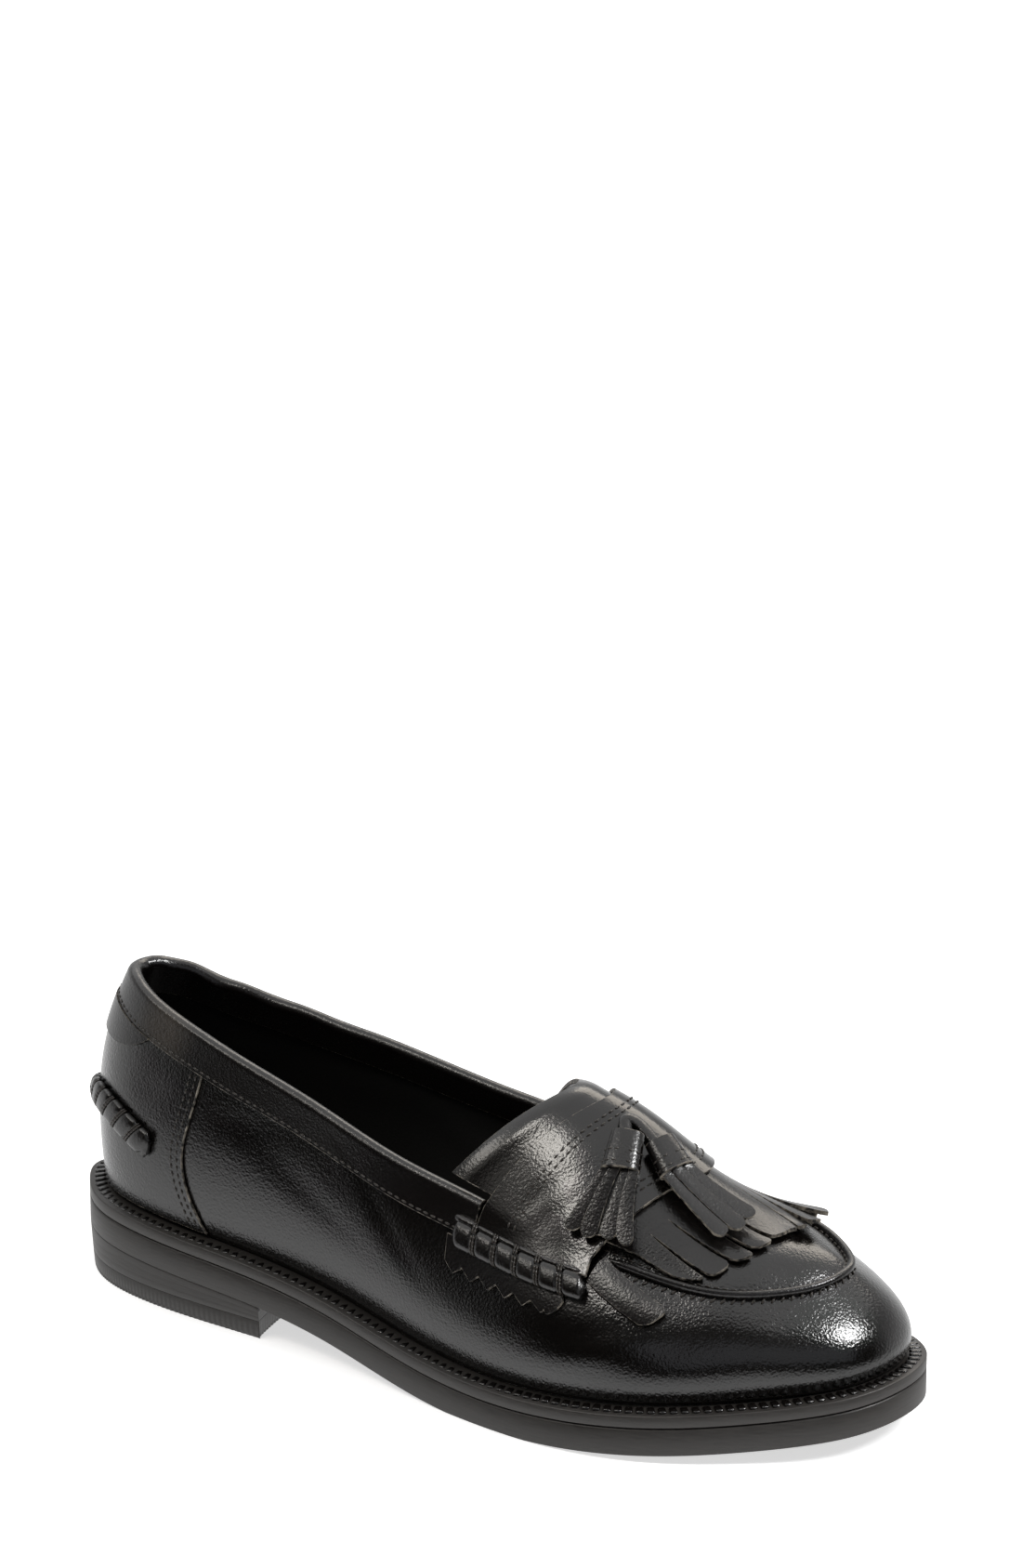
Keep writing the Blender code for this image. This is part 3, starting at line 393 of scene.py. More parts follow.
def turnOut(bm, faces):  # faces of a sheet look away from the foot, whose middle is about 30 mm up
    bm.normal_update()
    outward = 0
    for face in faces:
        spot = face.calc_center_median()
        outward += face.normal.dot(spot - Vector((spot.x, lastShift[1] * mm, 30 * mm)))
    if outward < 0:
        bmesh.ops.reverse_faces(bm, faces=faces)


def addObject(name, data):
    thing = bpy.data.objects.new(name, data)
    bpy.context.scene.collection.objects.link(thing)
    return thing


def addPiece(name, bm, slots, replaced=(), thickness=0.0, bevel=0.0):
    mesh = bpy.data.meshes.new(name)
    bm.normal_update()
    bm.to_mesh(mesh)
    bm.free()
    mesh.shade_smooth()
    piece = addObject(name, mesh)
    for slot in slots:
        mesh.materials.append(slot)
    if thickness:
        solid = piece.modifiers.new("thickness", "SOLIDIFY")
        solid.thickness = abs(thickness) * mm
        solid.offset = 1 if thickness > 0 else -1
        solid.use_even_offset = True
        solid.material_offset = 1 if thickness < 0 else 0
        solid.material_offset_rim = 2
    if bevel:
        soft = piece.modifiers.new("softEdge", "BEVEL")
        soft.width, soft.segments, soft.profile = bevel * mm, 2, 0.5
        soft.limit_method, soft.angle_limit = "ANGLE", math.radians(50)
        soft.material = 2 if len(slots) > 2 else -1  # painted edge highlight: the bevel faces take the paler cut-edge colour
        soft.harden_normals = True
    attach(piece, "root")
    if replaced:
        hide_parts(*replaced)


def addStrip(bm, columns, rows, place, *settings):  # a loose strip beside others in one piece
    made = drape(bm, columns, rows, place, *settings)
    turnOut(bm, list({face for v in made for face in v.link_faces}))


def addSheet(name, columns, rows, place, slots, replaced, thickness, bevel, *settings):
    bm = bmesh.new()
    drape(bm, columns, rows, place, *settings)
    joinVerts(bm)
    turnOut(bm, bm.faces[:])
    addPiece(name, bm, slots, replaced, thickness, bevel)


def runAlong(points):  # length of a line up to each of its points
    return np.concatenate([[0], np.cumsum(np.linalg.norm(np.diff(points, axis=0), axis=1))])


def pointsAt(stops, keys, points):
    return np.stack([np.interp(stops, keys, points[:, axis]) for axis in range(3)], axis=-1)


def alongPath(turns, heights, out, pitch):  # evenly spaced places on the upper, with direction and normal
    share, keys = np.linspace(0, 1, 600), np.linspace(0, 1, len(turns))
    turn, height = np.interp(share, keys, turns), np.interp(share, keys, heights)
    points = onUpper(turn, height, out)
    run = runAlong(points)
    stops = np.arange(pitch / 2, run[-1], pitch)
    turn, height = np.interp(stops, run, turn), np.interp(stops, run, height)
    ahead = pointsAt(stops + 0.3, run, points) - pointsAt(stops - 0.3, run, points)
    return onUpper(turn, height, out), unit(ahead), upperNormal(turn, height)


def addStitches(bm, places, half, thick, slant=0.0):  # small lens-shaped stitches along a path
    for here, ahead, normal in zip(*places):
        normal = Vector(normal)
        ahead = Matrix.Rotation(slant, 3, normal) @ Vector(ahead)
        side = normal.cross(ahead).normalized()
        basis = Matrix((ahead * half * mm, side * thick * mm, normal * thick * mm)).transposed().to_4x4()
        spot = Matrix.Translation(Vector((here + lastShift) * mm))
        bmesh.ops.create_uvsphere(bm, u_segments=6, v_segments=4, radius=1.0, matrix=spot @ basis)


# Sole
sole = {"columns": 328, "round": 0.7, "lowRound": 0.12, "weltRound": 0.35, "feather": 4.4, "weltReach": 10.0}


def layerPiece(name, columns, profile, ringAt, slots, replaced):
    # profile: rows of sizes for ringAt, then the height above the floor as a function of x
    rows = len(profile) - 1

    def place(around, across):
        row = np.rint(across * rows).astype(int)
        points = np.zeros((len(around), 3))
        for k, (*sizes, level) in enumerate(profile):
            spot = ringAt(around[row == k], *sizes)
            spot[:, 2] = level(spot[:, 0])
            points[row == k] = spot
        return points

    bm = bmesh.new()
    drape(bm, columns, rows, place)
    weld(bm)
    addPiece(name, bm, slots, replaced)


def raised(base, amount):
    return lambda x: base(x) + amount


def soleRing(around, middle, inset):  # middle: share of the way from the edge to the middle line
    rim, other = soleEdge(2 * around, inset), soleEdge(2 - 2 * around, inset)
    return rim + (other - rim) * (middle / 2)


def makeSole():
    drop = last["weltThickness"] + last["gap"]
    soft, low = sole["round"], sole["lowRound"]
    top, inwards = raised(weltTop, -drop), (0.1, 0.3, 0.6, 1.0)
    plate = [(share, low, soleBottom) for share in inwards[::-1]]
    plate += [
        (0, low, soleBottom),
        (0, low * 0.3, raised(soleBottom, low * 0.3)),
        (0, 0.0, raised(soleBottom, low)),
        (0, 0.0, lambda x: (soleBottom(x) + top(x)) / 2),
        (0, 0.0, raised(top, -soft)),
        (0, soft * 0.3, raised(top, -soft * 0.3)),
        (0, soft, top),
    ]
    plate += [(share, soft, top) for share in inwards]
    layerPiece("outsole_plate", sole["columns"], plate, soleRing, [soleSide], ["outsole"])
    thick, rise, soft = last["weltThickness"], last["weltRise"], sole["weltRound"]
    reach = sole["weltReach"]
    strip = [  # inset and height over the welt's top
        (soft, -thick), (soft * 0.3, soft * 0.3 - thick), (0.0, soft - thick), (0.0, -soft),
        (soft * 0.3, -soft * 0.3), (soft, 0.0), (sole["feather"], rise * 0.6), (reach, rise), (reach, -thick),
        (soft, -thick),
    ]
    rows = [(0, inset, raised(weltTop, level)) for inset, level in strip]
    layerPiece("welt_strip", sole["columns"], rows, soleRing, [weltSide], ["welt"])


welt = {
    "pitch": 3.0, "reach": 3.3, "width": 2.1, "height": 1.1, "inset": 3.1, "slant": 0.25, "round": 0.45,
    "sink": 0.5, "waistBack": 0.10, "waistFront": 0.62,
}


def makeWeltRidges():  # the wheeled ridges on the welt's top
    turn = np.linspace(0, 2, 3001)
    run = runAlong(soleEdge(turn, welt["inset"]))
    count = int(run[-1] / welt["pitch"])
    stops = np.interp(np.arange(count) * run[-1] / count, run, turn)
    here = soleEdge(stops, welt["inset"])
    side = np.minimum(stops, 2 - stops)
    faint = np.clip((side - welt["waistBack"]) / 0.06, 0, 1)  # worn down along the waist
    faint = faint * np.clip((welt["waistFront"] - side) / 0.08, 0, 1)
    here[:, 2] = weltTop(here[:, 0]) + last["weltRise"] * 0.45 - welt["sink"] * faint
    bm = bmesh.new()
    for spot, cross in zip(here, inward(stops)):
        cross = Matrix.Rotation(welt["slant"], 3, "Z") @ Vector(cross)
        along = Vector((-cross.y, cross.x, 0))
        tall = Vector((0, 0, welt["height"]))
        basis = Matrix((cross * welt["reach"], along * welt["width"], tall)).transposed()
        matrix = Matrix.Translation(Vector((spot + lastShift) * mm)) @ (basis * mm).to_4x4()
        bmesh.ops.create_cube(bm, size=1.0, matrix=matrix)
    soft = {"offset": welt["round"] * mm, "segments": 2, "profile": 0.5}
    bmesh.ops.bevel(bm, geom=bm.edges[:], affect="EDGES", material=-1, **soft)
    addPiece("welt_ridges", bm, [strapLeather])


heel = {
    "breast": 76.5, "hollow": 3.0, "centre": (38.0, 3.0, 0.0), "liftThickness": 5.0, "taper": 0.5, "lifts": 3,
    "groove": 0.01, "grooveHalf": 0.02, "teeth": 170, "toothDepth": 0.22,
    "columns": 160, "toothColumns": 1360,
    "backShare": 0.78,  # part of the outline that runs round the heel, the rest is the breast
}


def heelRing(around, middle, inset, tooth):
    breast = math.acos(1 - 2 * heel["breast"] / soleRows["x"][-1]) / math.pi
    back = heel["backShare"]
    turn = breast * (1 - 2 * np.minimum(around / back, 1.0))
    across = np.clip((around - back) / (1 - back), 0, 1)
    first, second = soleEdge(np.array([-breast, breast]), inset)
    chord = first + scaled(across, second - first)
    chord[:, 0] -= heel["hollow"] * 4 * across * (1 - across) + inset * 0.5
    rim = np.where((around <= back)[:, None], soleEdge(turn, inset), chord)
    centre = np.array(heel["centre"])
    notch = tooth * (0.5 - 0.5 * np.cos(2 * np.pi * heel["teeth"] * around))
    rim = rim + scaled(notch, unit(centre - rim))
    return rim + (centre - rim) * middle


def makeHeel():
    lift, taper, half = heel["liftThickness"], heel["taper"], heel["grooveHalf"]
    roof = raised(soleBottom, -0.05)

    def between(share):
        return lambda x: lift + last["gap"] + (soleBottom(x) - lift - 2 * last["gap"]) * share

    low = between(0.0)
    rows = [(1.0, taper, 0, low), (0.5, taper, 0, low), (0.0, taper + 0.03, 0, low)]
    rows.append((0.0, taper, 0, between(0.01)))
    for k in range(1, heel["lifts"]):
        share = k / heel["lifts"]
        for step, cut in ((-half, 0.0), (0.0, heel["groove"]), (half, 0.0)):
            rows.append((0.0, taper * (1 - share) + cut, 0, between(share + step)))
    rows += [(0.0, 0.02, 0, between(0.98)), (0.0, 0.05, 0, roof), (0.5, 0.4, 0, roof), (1.0, 0.4, 0, roof)]
    layerPiece("heel_lifts", heel["columns"], rows, heelRing, [soleSide], ["heel_stack"])
    tooth, top = heel["toothDepth"], lift + 0.22
    flat = [  # share to the middle, inset past the taper, tooth, height above the floor
        (1.0, 0.5, 0, 0), (0.5, 0.5, 0, 0), (0.0, 0.45, tooth, 0), (0.0, 0.35, tooth, 0.8),
        (0.0, 0.35, 0, 1.0), (0.0, 0.02, 0, lift + 0.12), (0.0, 0.05, 0, top), (0.5, 0.4, 0, top), (1.0, 0.4, 0, top),
    ]
    rows = [(share, taper + inset, notch, raised(np.zeros_like, level)) for share, inset, notch, level in flat]
    columns = heel["toothColumns"]
    layerPiece("heel_wearing_lift", columns, rows, heelRing, [heelRubber], ["heel_top_lift"])


makeSole()
makeWeltRidges()
makeHeel()
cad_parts["insole"].data.materials.clear()
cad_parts["insole"].data.materials.append(lining)
print("sole made")

# Upper
upper = {"ribs": 164, "wallRows": 34, "domeRows": 22, "easeReach": 9, "easeSteps": 14}


def overInstep(low, across):  # side and height on a sheet that lies across the instep
    side = np.where(across <= 0.5, -1, 1)
    return side, low + (2 - low) * (1 - np.abs(2 * across - 1))


def makeUpper():
    ribs, throat = upper["ribs"], last["throat"]

    def wall(around, share):
        return onUpper(2 * around, share, 0.0)

    def dome(along, across):
        side, height = overInstep(1.0, across)
        return onUpper(bothSides(throat + (1 - throat) * along, side), height, 0.0)

    bm = bmesh.new()
    drape(bm, 2 * ribs, upper["wallRows"], wall)
    drape(bm, round(ribs * (1 - throat)), 2 * upper["domeRows"], dome)
    joinVerts(bm)
    turnOut(bm, bm.faces[:])
    crown = Vector((upperPoint(1.0, 2.0) + lastShift) * mm)
    near = [v for v in bm.verts if (v.co - crown).length < upper["easeReach"] * mm]
    for step in range(upper["easeSteps"]):  # eases the leather where all ribs of the apron meet
        bmesh.ops.smooth_vert(bm, verts=near, factor=0.5, use_axis_x=True, use_axis_y=True, use_axis_z=True)
    addPiece("upper_shell", bm, shellSlots, ["upper"], thickness=-last["wall"])


def sweepRoll(bm, rounds, centre, across, normal, halfWide, halfTall):
    # a tube about a line on the upper, with its sizes at each place of the line
    columns = len(centre) - 1

    def place(along, around):
        angle = 2 * np.pi * around
        at = np.rint(along * columns).astype(int)
        wide, tall = halfWide[at] * np.cos(angle), halfTall[at] * np.sin(angle)
        return centre[at] + scaled(wide, across[at]) + scaled(tall, normal[at])

    drape(bm, columns, rounds, place)


def closeEnds(bm):
    joinVerts(bm)
    bmesh.ops.holes_fill(bm, edges=bm.edges, sides=0)
    bmesh.ops.recalc_face_normals(bm, faces=bm.faces)


seam = {
    "start": 0.665, "height": 1.035, "halfWidth": 1.15, "halfTall": 1.35, "lift": 0.75,
    "columns": 260, "endColumns": 8,
    # rows of stitches: height, out, pitch, half length, half thickness, slant
    "stitches": ((0.978, 0.2, 2.7, 1.1, 0.4, 0.9), (1.085, 0.1, 2.4, 0.95, 0.32, 0.0)),
}


def makeApronSeam():
    span = (seam["start"], 2 - seam["start"])
    column = np.arange(seam["columns"] + 1)
    turn, height = np.linspace(*span, len(column)), seam["height"]
    normal = upperNormal(turn, height)
    centre = upperPoint(turn, height) + normal * seam["lift"]
    across = unit(np.cross(normal, upperPoint(turn + 0.003, height) - upperPoint(turn - 0.003, height)))
    ends = np.clip(np.minimum(column, column[::-1]) / seam["endColumns"], 0.15, 1.0)
    bm = bmesh.new()
    sweepRoll(bm, 16, centre, across, normal, seam["halfWidth"] * ends, seam["halfTall"] * ends)
    closeEnds(bm)
    addPiece("apron_seam_lip", bm, [strapLeather])
    bm = bmesh.new()
    for height, out, pitch, half, thick, slant in seam["stitches"]:
        addStitches(bm, alongPath(span, (height, height), out, pitch), half, thick, slant)
    addPiece("apron_seam_stitches", bm, [thread])


binding = {
    "end": 0.556, "backHeight": 0.87, "frontHeight": 0.79, "insideHeight": 0.84, "top": 0.985,
    "foldStart": 0.42, "foldEnd": 0.62, "out": 0.5, "inside": 0.4, "thickness": 0.9,
}
puckerLook = {"depth": 0.22, "waves": 80, "turn": -0.2, "reach": 0.13}  # ripples in the strip's inner half


def bindingLow(turn):
    share = np.minimum(1.0, np.abs(turn) / 0.5)
    return binding["backHeight"] + (binding["frontHeight"] - binding["backHeight"]) * share


def makeBinding():
    out, inner = binding["out"], -last["wall"] - binding["inside"]
    radius, middle = (out - inner) / 2, (out + inner) / 2  # of the fold over the edge
    top, start, end = binding["top"], binding["foldStart"], binding["foldEnd"]

    def place(along, across):
        turn = binding["end"] * (2 * along - 1)
        low = bindingLow(turn)
        outside = onUpper(turn, low + (top - low) * np.clip(across / start, 0, 1), out)
        near = np.exp(-(((turn - puckerLook["turn"]) / puckerLook["reach"]) ** 2))
        ripple = np.sin(turn * puckerLook["waves"]) * np.sin(np.pi * np.clip(across / 0.9 - 0.1, 0, 1))
        pucker = puckerLook["depth"] * near * ripple
        down = np.clip((across - end) / (1 - end), 0, 1)
        inside = onUpper(turn, top + (binding["insideHeight"] - top) * down, inner + pucker)
        angle = np.pi * np.clip((across - start) / (end - start), 0, 1)
        normal = upperNormal(turn, top)
        rise = unit(upperPoint(turn, 0.995) - upperPoint(turn, 0.97))
        over = upperPoint(turn, top) + scaled(middle + np.cos(angle) * radius, normal)
        over = over + scaled(np.sin(angle) * (radius + 1.6 * pucker), rise)
        return np.where((across < start)[:, None], outside, np.where((across > end)[:, None], inside, over))

    thickness = binding["thickness"]
    addSheet("collar_strip", 220, 50, place, collarSlots, ["collar_binding"], thickness, 0.18)
    turn = np.linspace(-binding["end"], binding["end"], 41)
    bm = bmesh.new()
    addStitches(bm, alongPath(turn, bindingLow(turn) + 0.022, out + thickness, 2.5), 1.0, 0.34)
    addPiece("collar_stitches", bm, [thread])


counter = {
    "turn": 0.27, "flare": 0.035, "flareHeight": 0.45, "low": 0.012, "out": 0.15, "thickness": 0.85,
    "rows": (2.0, 4.4),  # of stitches, in millimetres from the edge
    "turnLength": 330,  # millimetres to a turn here
}


def counterTurn(height):
    flare = np.maximum(0.0, 1 - height / counter["flareHeight"]) ** 2
    return counter["turn"] + counter["flare"] * flare


def makeCounter():
    def place(across, rise):
        side = 2 * across - 1
        height = counter["low"] + (bindingLow(counter["turn"] * side) + 0.01) * rise
        return onUpper(side * counterTurn(height), height, counter["out"])

    thickness = counter["thickness"]
    addSheet("counter_panel", 120, 40, place, shellSlots, ["counter"], thickness, 0.25)
    bm = bmesh.new()
    height = np.linspace(0.04, 0.82, 30)
    for word, side in shoeSides:
        for back in counter["rows"]:
            turn = -side * (counterTurn(height) - back / counter["turnLength"])
            addStitches(bm, alongPath(turn, height, counter["out"] + thickness, 2.3), 0.9, 0.32)
    addPiece("counter_stitches", bm, [thread])


tab = {"turn": 0.185, "low": 0.70, "cornerPower": 6, "cornerShare": 0.97, "out": 1.05, "thickness": 0.8}


def makeBackTab():
    def place(across, rise):
        side = 2 * across - 1
        turn = tab["turn"] * side
        top = bindingLow(turn) + 0.005
        corner = tab["cornerShare"] * np.abs(side) ** tab["cornerPower"]
        low = top - (top - tab["low"]) * (1 - corner)
        return onUpper(turn, low + (top - low) * rise, tab["out"])

    addSheet("back_flap", 80, 16, place, sheetSlots, ["back_tab"], tab["thickness"], 0.2)


def bent(values, power):  # squarer than a circle below 1
    return np.sign(values) * np.abs(values) ** power


# Lengths along a roll as shares of a wrap: reach of the drawn-in places, half the gap of a pair of bars.
roll = {
    "perWrap": 16, "rounds": 20, "lipRounds": 12, "square": 0.8,
    "nipReach": 0.13, "lipNip": 0.3, "pair": 0.055,
}
heelRollRows = {
    "turn": (0, 0.05, 0.09, 0.13, 0.165, 0.195, 0.225, 0.245),
    "height": (0.315, 0.345, 0.38, 0.40, 0.393, 0.368, 0.335, 0.31),
}
heelRoll = {
    "turn": 0.232, "base": 0.8, "wraps": 17, "tall": 4.1, "deep": 1.6, "slant": -0.3, "nip": 0.36, "lip": 0.0,
    "threadTop": 0.2,
}
beefRoll = {
    "turns": (0.5405, 0.661), "heights": (0.786, 0.784), "base": 0.4, "wraps": 6, "tall": 3.8, "deep": 2.3,
    "slant": 0.0, "nip": 0.30, "lip": 1.25, "threadTop": -0.1,
}


def whippedRoll(bm, threads, look, turns, heights):
    # a roll of leather drawn in between pairs of thread bars
    wraps, tall, deep, slant, lip = (look[key] for key in ("wraps", "tall", "deep", "slant", "lip"))
    columns = wraps * roll["perWrap"]
    share, keys = np.linspace(0, 1, columns + 1), np.linspace(0, 1, len(turns))
    turn, height = np.interp(share, keys, turns), np.interp(share, keys, heights)
    normal = upperNormal(turn, height)
    rise = unit(upperPoint(turn, height + 0.01) - upperPoint(turn, height - 0.01))
    centre = upperPoint(turn, height) + normal * (look["base"] + deep * 0.8)

    def about(along, high, out):  # a place so far up and out from the roll's middle line
        hub, upward, outward = (pointsAt(along, share, line) for line in (centre, rise, normal))
        return hub + scaled(high, upward) + scaled(out, outward)

    def drawnIn(wrap, amount):
        phase = np.mod(wrap, 1.0)
        return 1 - amount * np.exp(-((np.minimum(phase, 1 - phase) / roll["nipReach"]) ** 2))

    def square(values):
        return bent(values, roll["square"])

    def body(along, around):
        angle = 2 * np.pi * around
        ends = np.clip(np.minimum(along, 1 - along) * wraps / 0.1, 0.6, 1.0)
        size = drawnIn(along * wraps + slant * np.cos(angle), look["nip"]) * ends
        return about(along, tall * square(np.cos(angle)) * size, deep * square(np.sin(angle)) * size)

    def fold(along, around):  # the folded edge along the top of the roll
        angle = 2 * np.pi * around
        size = lip * drawnIn(along * wraps, roll["lipNip"])
        return about(along, tall + 0.25 + size * np.cos(angle), 0.2 + size * np.sin(angle))

    drape(bm, columns, roll["rounds"], body)
    if lip:
        drape(bm, columns, roll["lipRounds"], fold)
    angle = np.linspace(look["threadTop"], np.pi + 0.35, 11)
    high = np.cos(angle) * (tall * 0.9 + lip * 1.2 * (np.cos(angle) > 0.5))
    for k in range(1, wraps):
        for shift in (-roll["pair"], roll["pair"]):
            stop = (k + shift - slant * np.cos(angle)) / wraps
            bar = about(stop, high, square(np.sin(angle)) * deep * 0.92)
            outward = unit(bar - pointsAt(stop, share, centre))
            addStitches(threads, (bar, unit(np.gradient(bar, axis=0)), outward), tall * 0.24, 0.36)


def makeRolls():
    bm, threads = bmesh.new(), bmesh.new()
    turn = np.linspace(-heelRoll["turn"], heelRoll["turn"], 41)
    height = splineThrough(heelRollRows["turn"], heelRollRows["height"])(np.abs(turn))
    whippedRoll(bm, threads, heelRoll, turn, height)
    closeEnds(bm)
    addPiece("heel_braid", bm, [strapLeather], ["heel_roll"])
    for word, side in shoeSides:
        bm = bmesh.new()
        turns = bothSides(np.array(beefRoll["turns"]), side)
        whippedRoll(bm, threads, beefRoll, turns, beefRoll["heights"])
        closeEnds(bm)
        addPiece("beef_braid_" + word, bm, [strapLeather], ["beef_roll_" + word])
    addPiece("roll_threads", threads, [thread])


pinked = {
    "start": 0.532, "end": 0.642, "top": 0.76, "low": 0.535, "teeth": 6.72, "teethEnd": 0.86, "depth": 0.06,
    "cornerStart": 0.82, "cornerRise": 0.12, "out": 0.3, "thickness": 1.0,
}


def makePinkedTabs():
    def place(along, rise, side):
        turn = pinked["start"] + (pinked["end"] - pinked["start"]) * along
        wave = np.abs(np.mod(along * pinked["teeth"], 1.0) - 0.5) * 2
        tooth = pinked["depth"] * wave * (along < pinked["teethEnd"])
        past = np.maximum(0.0, along - pinked["cornerStart"]) / (1 - pinked["cornerStart"])
        low = pinked["low"] + tooth + pinked["cornerRise"] * past**2.2
        return onUpper(bothSides(turn, side), low + (pinked["top"] - low) * rise, pinked["out"])

    for word, side in shoeSides:
        name, replaced = "pinked_end_" + word, ["pinked_tab_" + word]
        addSheet(name, 108, 10, place, sheetSlots, replaced, pinked["thickness"], 0.15, side)


makeUpper()
makeApronSeam()
makeBinding()
makeCounter()
makeBackTab()
makeRolls()
makePinkedTabs()
print("upper made")

# Instep: tongue, saddle, kiltie, tassels
tongue = {
    "under": 6.0, "sideLength": 13.5, "middleLength": 5.5, "low": 1.06, "curl": 0.008,
    "tail": 5.5, "roll": 0.05, "out": 0.4, "thickness": 1.4,
}


def makeTongue():
    def place(along, across):
        side, height = overInstep(tongue["low"], across)
        length = tongue["middleLength"]
        length = length + (tongue["sideLength"] - length) * (2 * across - 1) ** 2
        distance = -tongue["under"] + (length + tongue["under"]) * along
        turn = bothSides(last["throat"], side)
        back = unit(upperPoint(turn, height) - upperPoint(turn - side * 0.01, height))
        back[:, 1] *= 2 - height
        tail = np.maximum(0.0, distance - length + tongue["tail"])  # the rear edge rolls down
        lift = tongue["curl"] * np.maximum(0.0, distance) ** 2 - tongue["roll"] * tail**2
        base = onUpper(turn, height, 0.0) + scaled(distance, back)
        return base + scaled(tongue["out"] + lift, upperNormal(turn, height))

    addSheet("tongue_flap", 24, 60, place, instepSlots, ["tongue"], tongue["thickness"], 0.22)


saddle = {
    "rear": 0.562, "front": 0.664, "sweep": 0.013, "low": 0.86, "out": 2.0, "slope": 0.3, "thickness": 1.3,
    "rearRows": (0.588, 0.5935), "frontRows": (0.6425, 0.6495),
}


def makeSaddle():
    rear, sweep = saddle["rear"], saddle["sweep"]

    def place(along, across):
        side, height = overInstep(saddle["low"], across)
        turn = rear + (saddle["front"] - rear) * along + sweep * (height - 1)
        return onUpper(bothSides(turn, side), height, saddle["out"] + saddle["slope"] * along)

    addSheet("saddle_strap", 30, 100, place, instepSlots, ["saddle"], saddle["thickness"], 0.2)
    bm = bmesh.new()
    top = saddle["out"] + saddle["thickness"]
    whole = np.linspace(0.95, 1.99, 30)
    part = np.linspace(1.5, 1.99, 16)  # the front rows end under the tassels
    for word, side in shoeSides:
        rows = [(np.full_like(whole, row), whole, top + 0.1) for row in saddle["rearRows"]]
        rows += [(row + sweep * (part - 1), part, top + 0.25) for row in saddle["frontRows"]]
        for turn, height, out in rows:
            addStitches(bm, alongPath(bothSides(turn, side), height, out, 2.5), 0.95, 0.36)
    addPiece("saddle_stitches", bm, [thread])


kiltie = {
    "root": 0.64, "slit": 0.69, "slitShare": 0.3, "sweep": 0.013, "out": 0.5, "thickness": 1.15,
    "corner": 0.09, "gap": 0.025, "curl": 0.35,
    # the long strip beside the beef roll: its corners, then how far it lies out, arches, lifts and tilts
    "sideStrip": ((0.662, 0.845), (0.672, 1.05), (0.7095, 0.606), (0.7365, 0.785)),
    "sideOut": (0.45, 0.25, 0.5, 0.9),
}
# Strips of the kiltie: heights at the root, then for each side both corners of the tip and its lift.
kiltieStrips = (
    ((1.13, 1.29), ((0.740, 1.062), (0.772, 1.125), 0.4), ((0.795, 1.08), (0.822, 1.17), 2.2)),
    ((1.29, 1.45), ((0.776, 1.14), (0.790, 1.30), 0.5), ((0.829, 1.17), (0.854, 1.31), 5.0)),
    ((1.45, 1.62), ((0.794, 1.32), (0.816, 1.43), 0.6), ((0.872, 1.43), (0.892, 1.64), 3.2)),
    ((1.62, 1.80), ((0.812, 1.49), (0.840, 1.645), 0.7), ((0.890, 1.67), (0.906, 1.82), 1.4)),
    ((1.80, 2.0), ((0.841, 1.69), (0.900, 2.0), 0.9), ((0.906, 1.84), (0.900, 2.0), 0.9)),
)


def makeKiltie():
    root, slit, slitShare = kiltie["root"], kiltie["slit"], kiltie["slitShare"]

    def strip(across, along, low, high, first, second, lift, side):
        # a band as far as the slits, then a strip with a square tip and rounded corners
        band = np.clip(along / slitShare, 0, 1)
        reach = np.clip((along - slitShare) / (1 - slitShare), 0, 1)
        edge = across - 1 if high == 2.0 else 2 * across - 1  # the middle strip is made in two halves
        reach = reach - kiltie["corner"] * reach**3 * np.abs(edge) ** 5
        width = across - edge * kiltie["gap"] * np.clip(reach / 0.1, 0, 1)
        height = low + (high - low) * width
        turn = root + (slit - root) * band + kiltie["sweep"] * (height - 1)
        turn = turn + (first[0] + (second[0] - first[0]) * width - turn) * reach
        height = height + (first[1] + (second[1] - first[1]) * width - height) * reach
        curl = kiltie["curl"] * reach**2 * np.cos(np.pi * (across - 0.5)) * np.sin(7 * low + 3 * side)
        return onUpper(bothSides(turn, side), height, kiltie["out"] + lift * reach**2 + curl)

    def sideStrip(across, along, side):
        corners = np.array(kiltie["sideStrip"])
        out, arch, lift, tilt = kiltie["sideOut"]
        reach = along - kiltie["corner"] * along**3 * np.abs(2 * across - 1) ** 4
        start = corners[0] + scaled(across, corners[1] - corners[0])
        end = corners[2] + scaled(across, corners[3] - corners[2])
        spot = start + scaled(reach, end - start)
        away = out + arch * np.sin(np.pi * across) + lift * reach**2 + tilt * reach * (across - 0.35)
        return onUpper(bothSides(spot[:, 0], side), spot[:, 1], away)

    bm = bmesh.new()
    for heights, *tips in kiltieStrips:
        for tip, (word, side) in zip(tips, shoeSides):
            addStrip(bm, 10, 40, strip, *heights, *tip, side)
    for word, side in shoeSides:
        addStrip(bm, 10, 40, sideStrip, side)
    joinVerts(bm)
    addPiece("kiltie_fringe", bm, sheetSlots, ["kiltie"], thickness=kiltie["thickness"], bevel=0.25)


tassel = {
    "capHalfWidth": 5.4, "capDeep": 2.9, "capTop": (0.84, 0.86), "capSquare": 0.7, "thickness": 1.1,
    "base": 4.2, "rise": 3.0, "layerDrop": 1.9, "stagger": 0.45, "layerShorter": 0.06, "corner": 0.10,
    "lane": (0.02, 0.96),  # gap and width of a strip as shares of its lane
    "head": 0.8,  # share of the cap where the strips start, and of its width that they fill
}
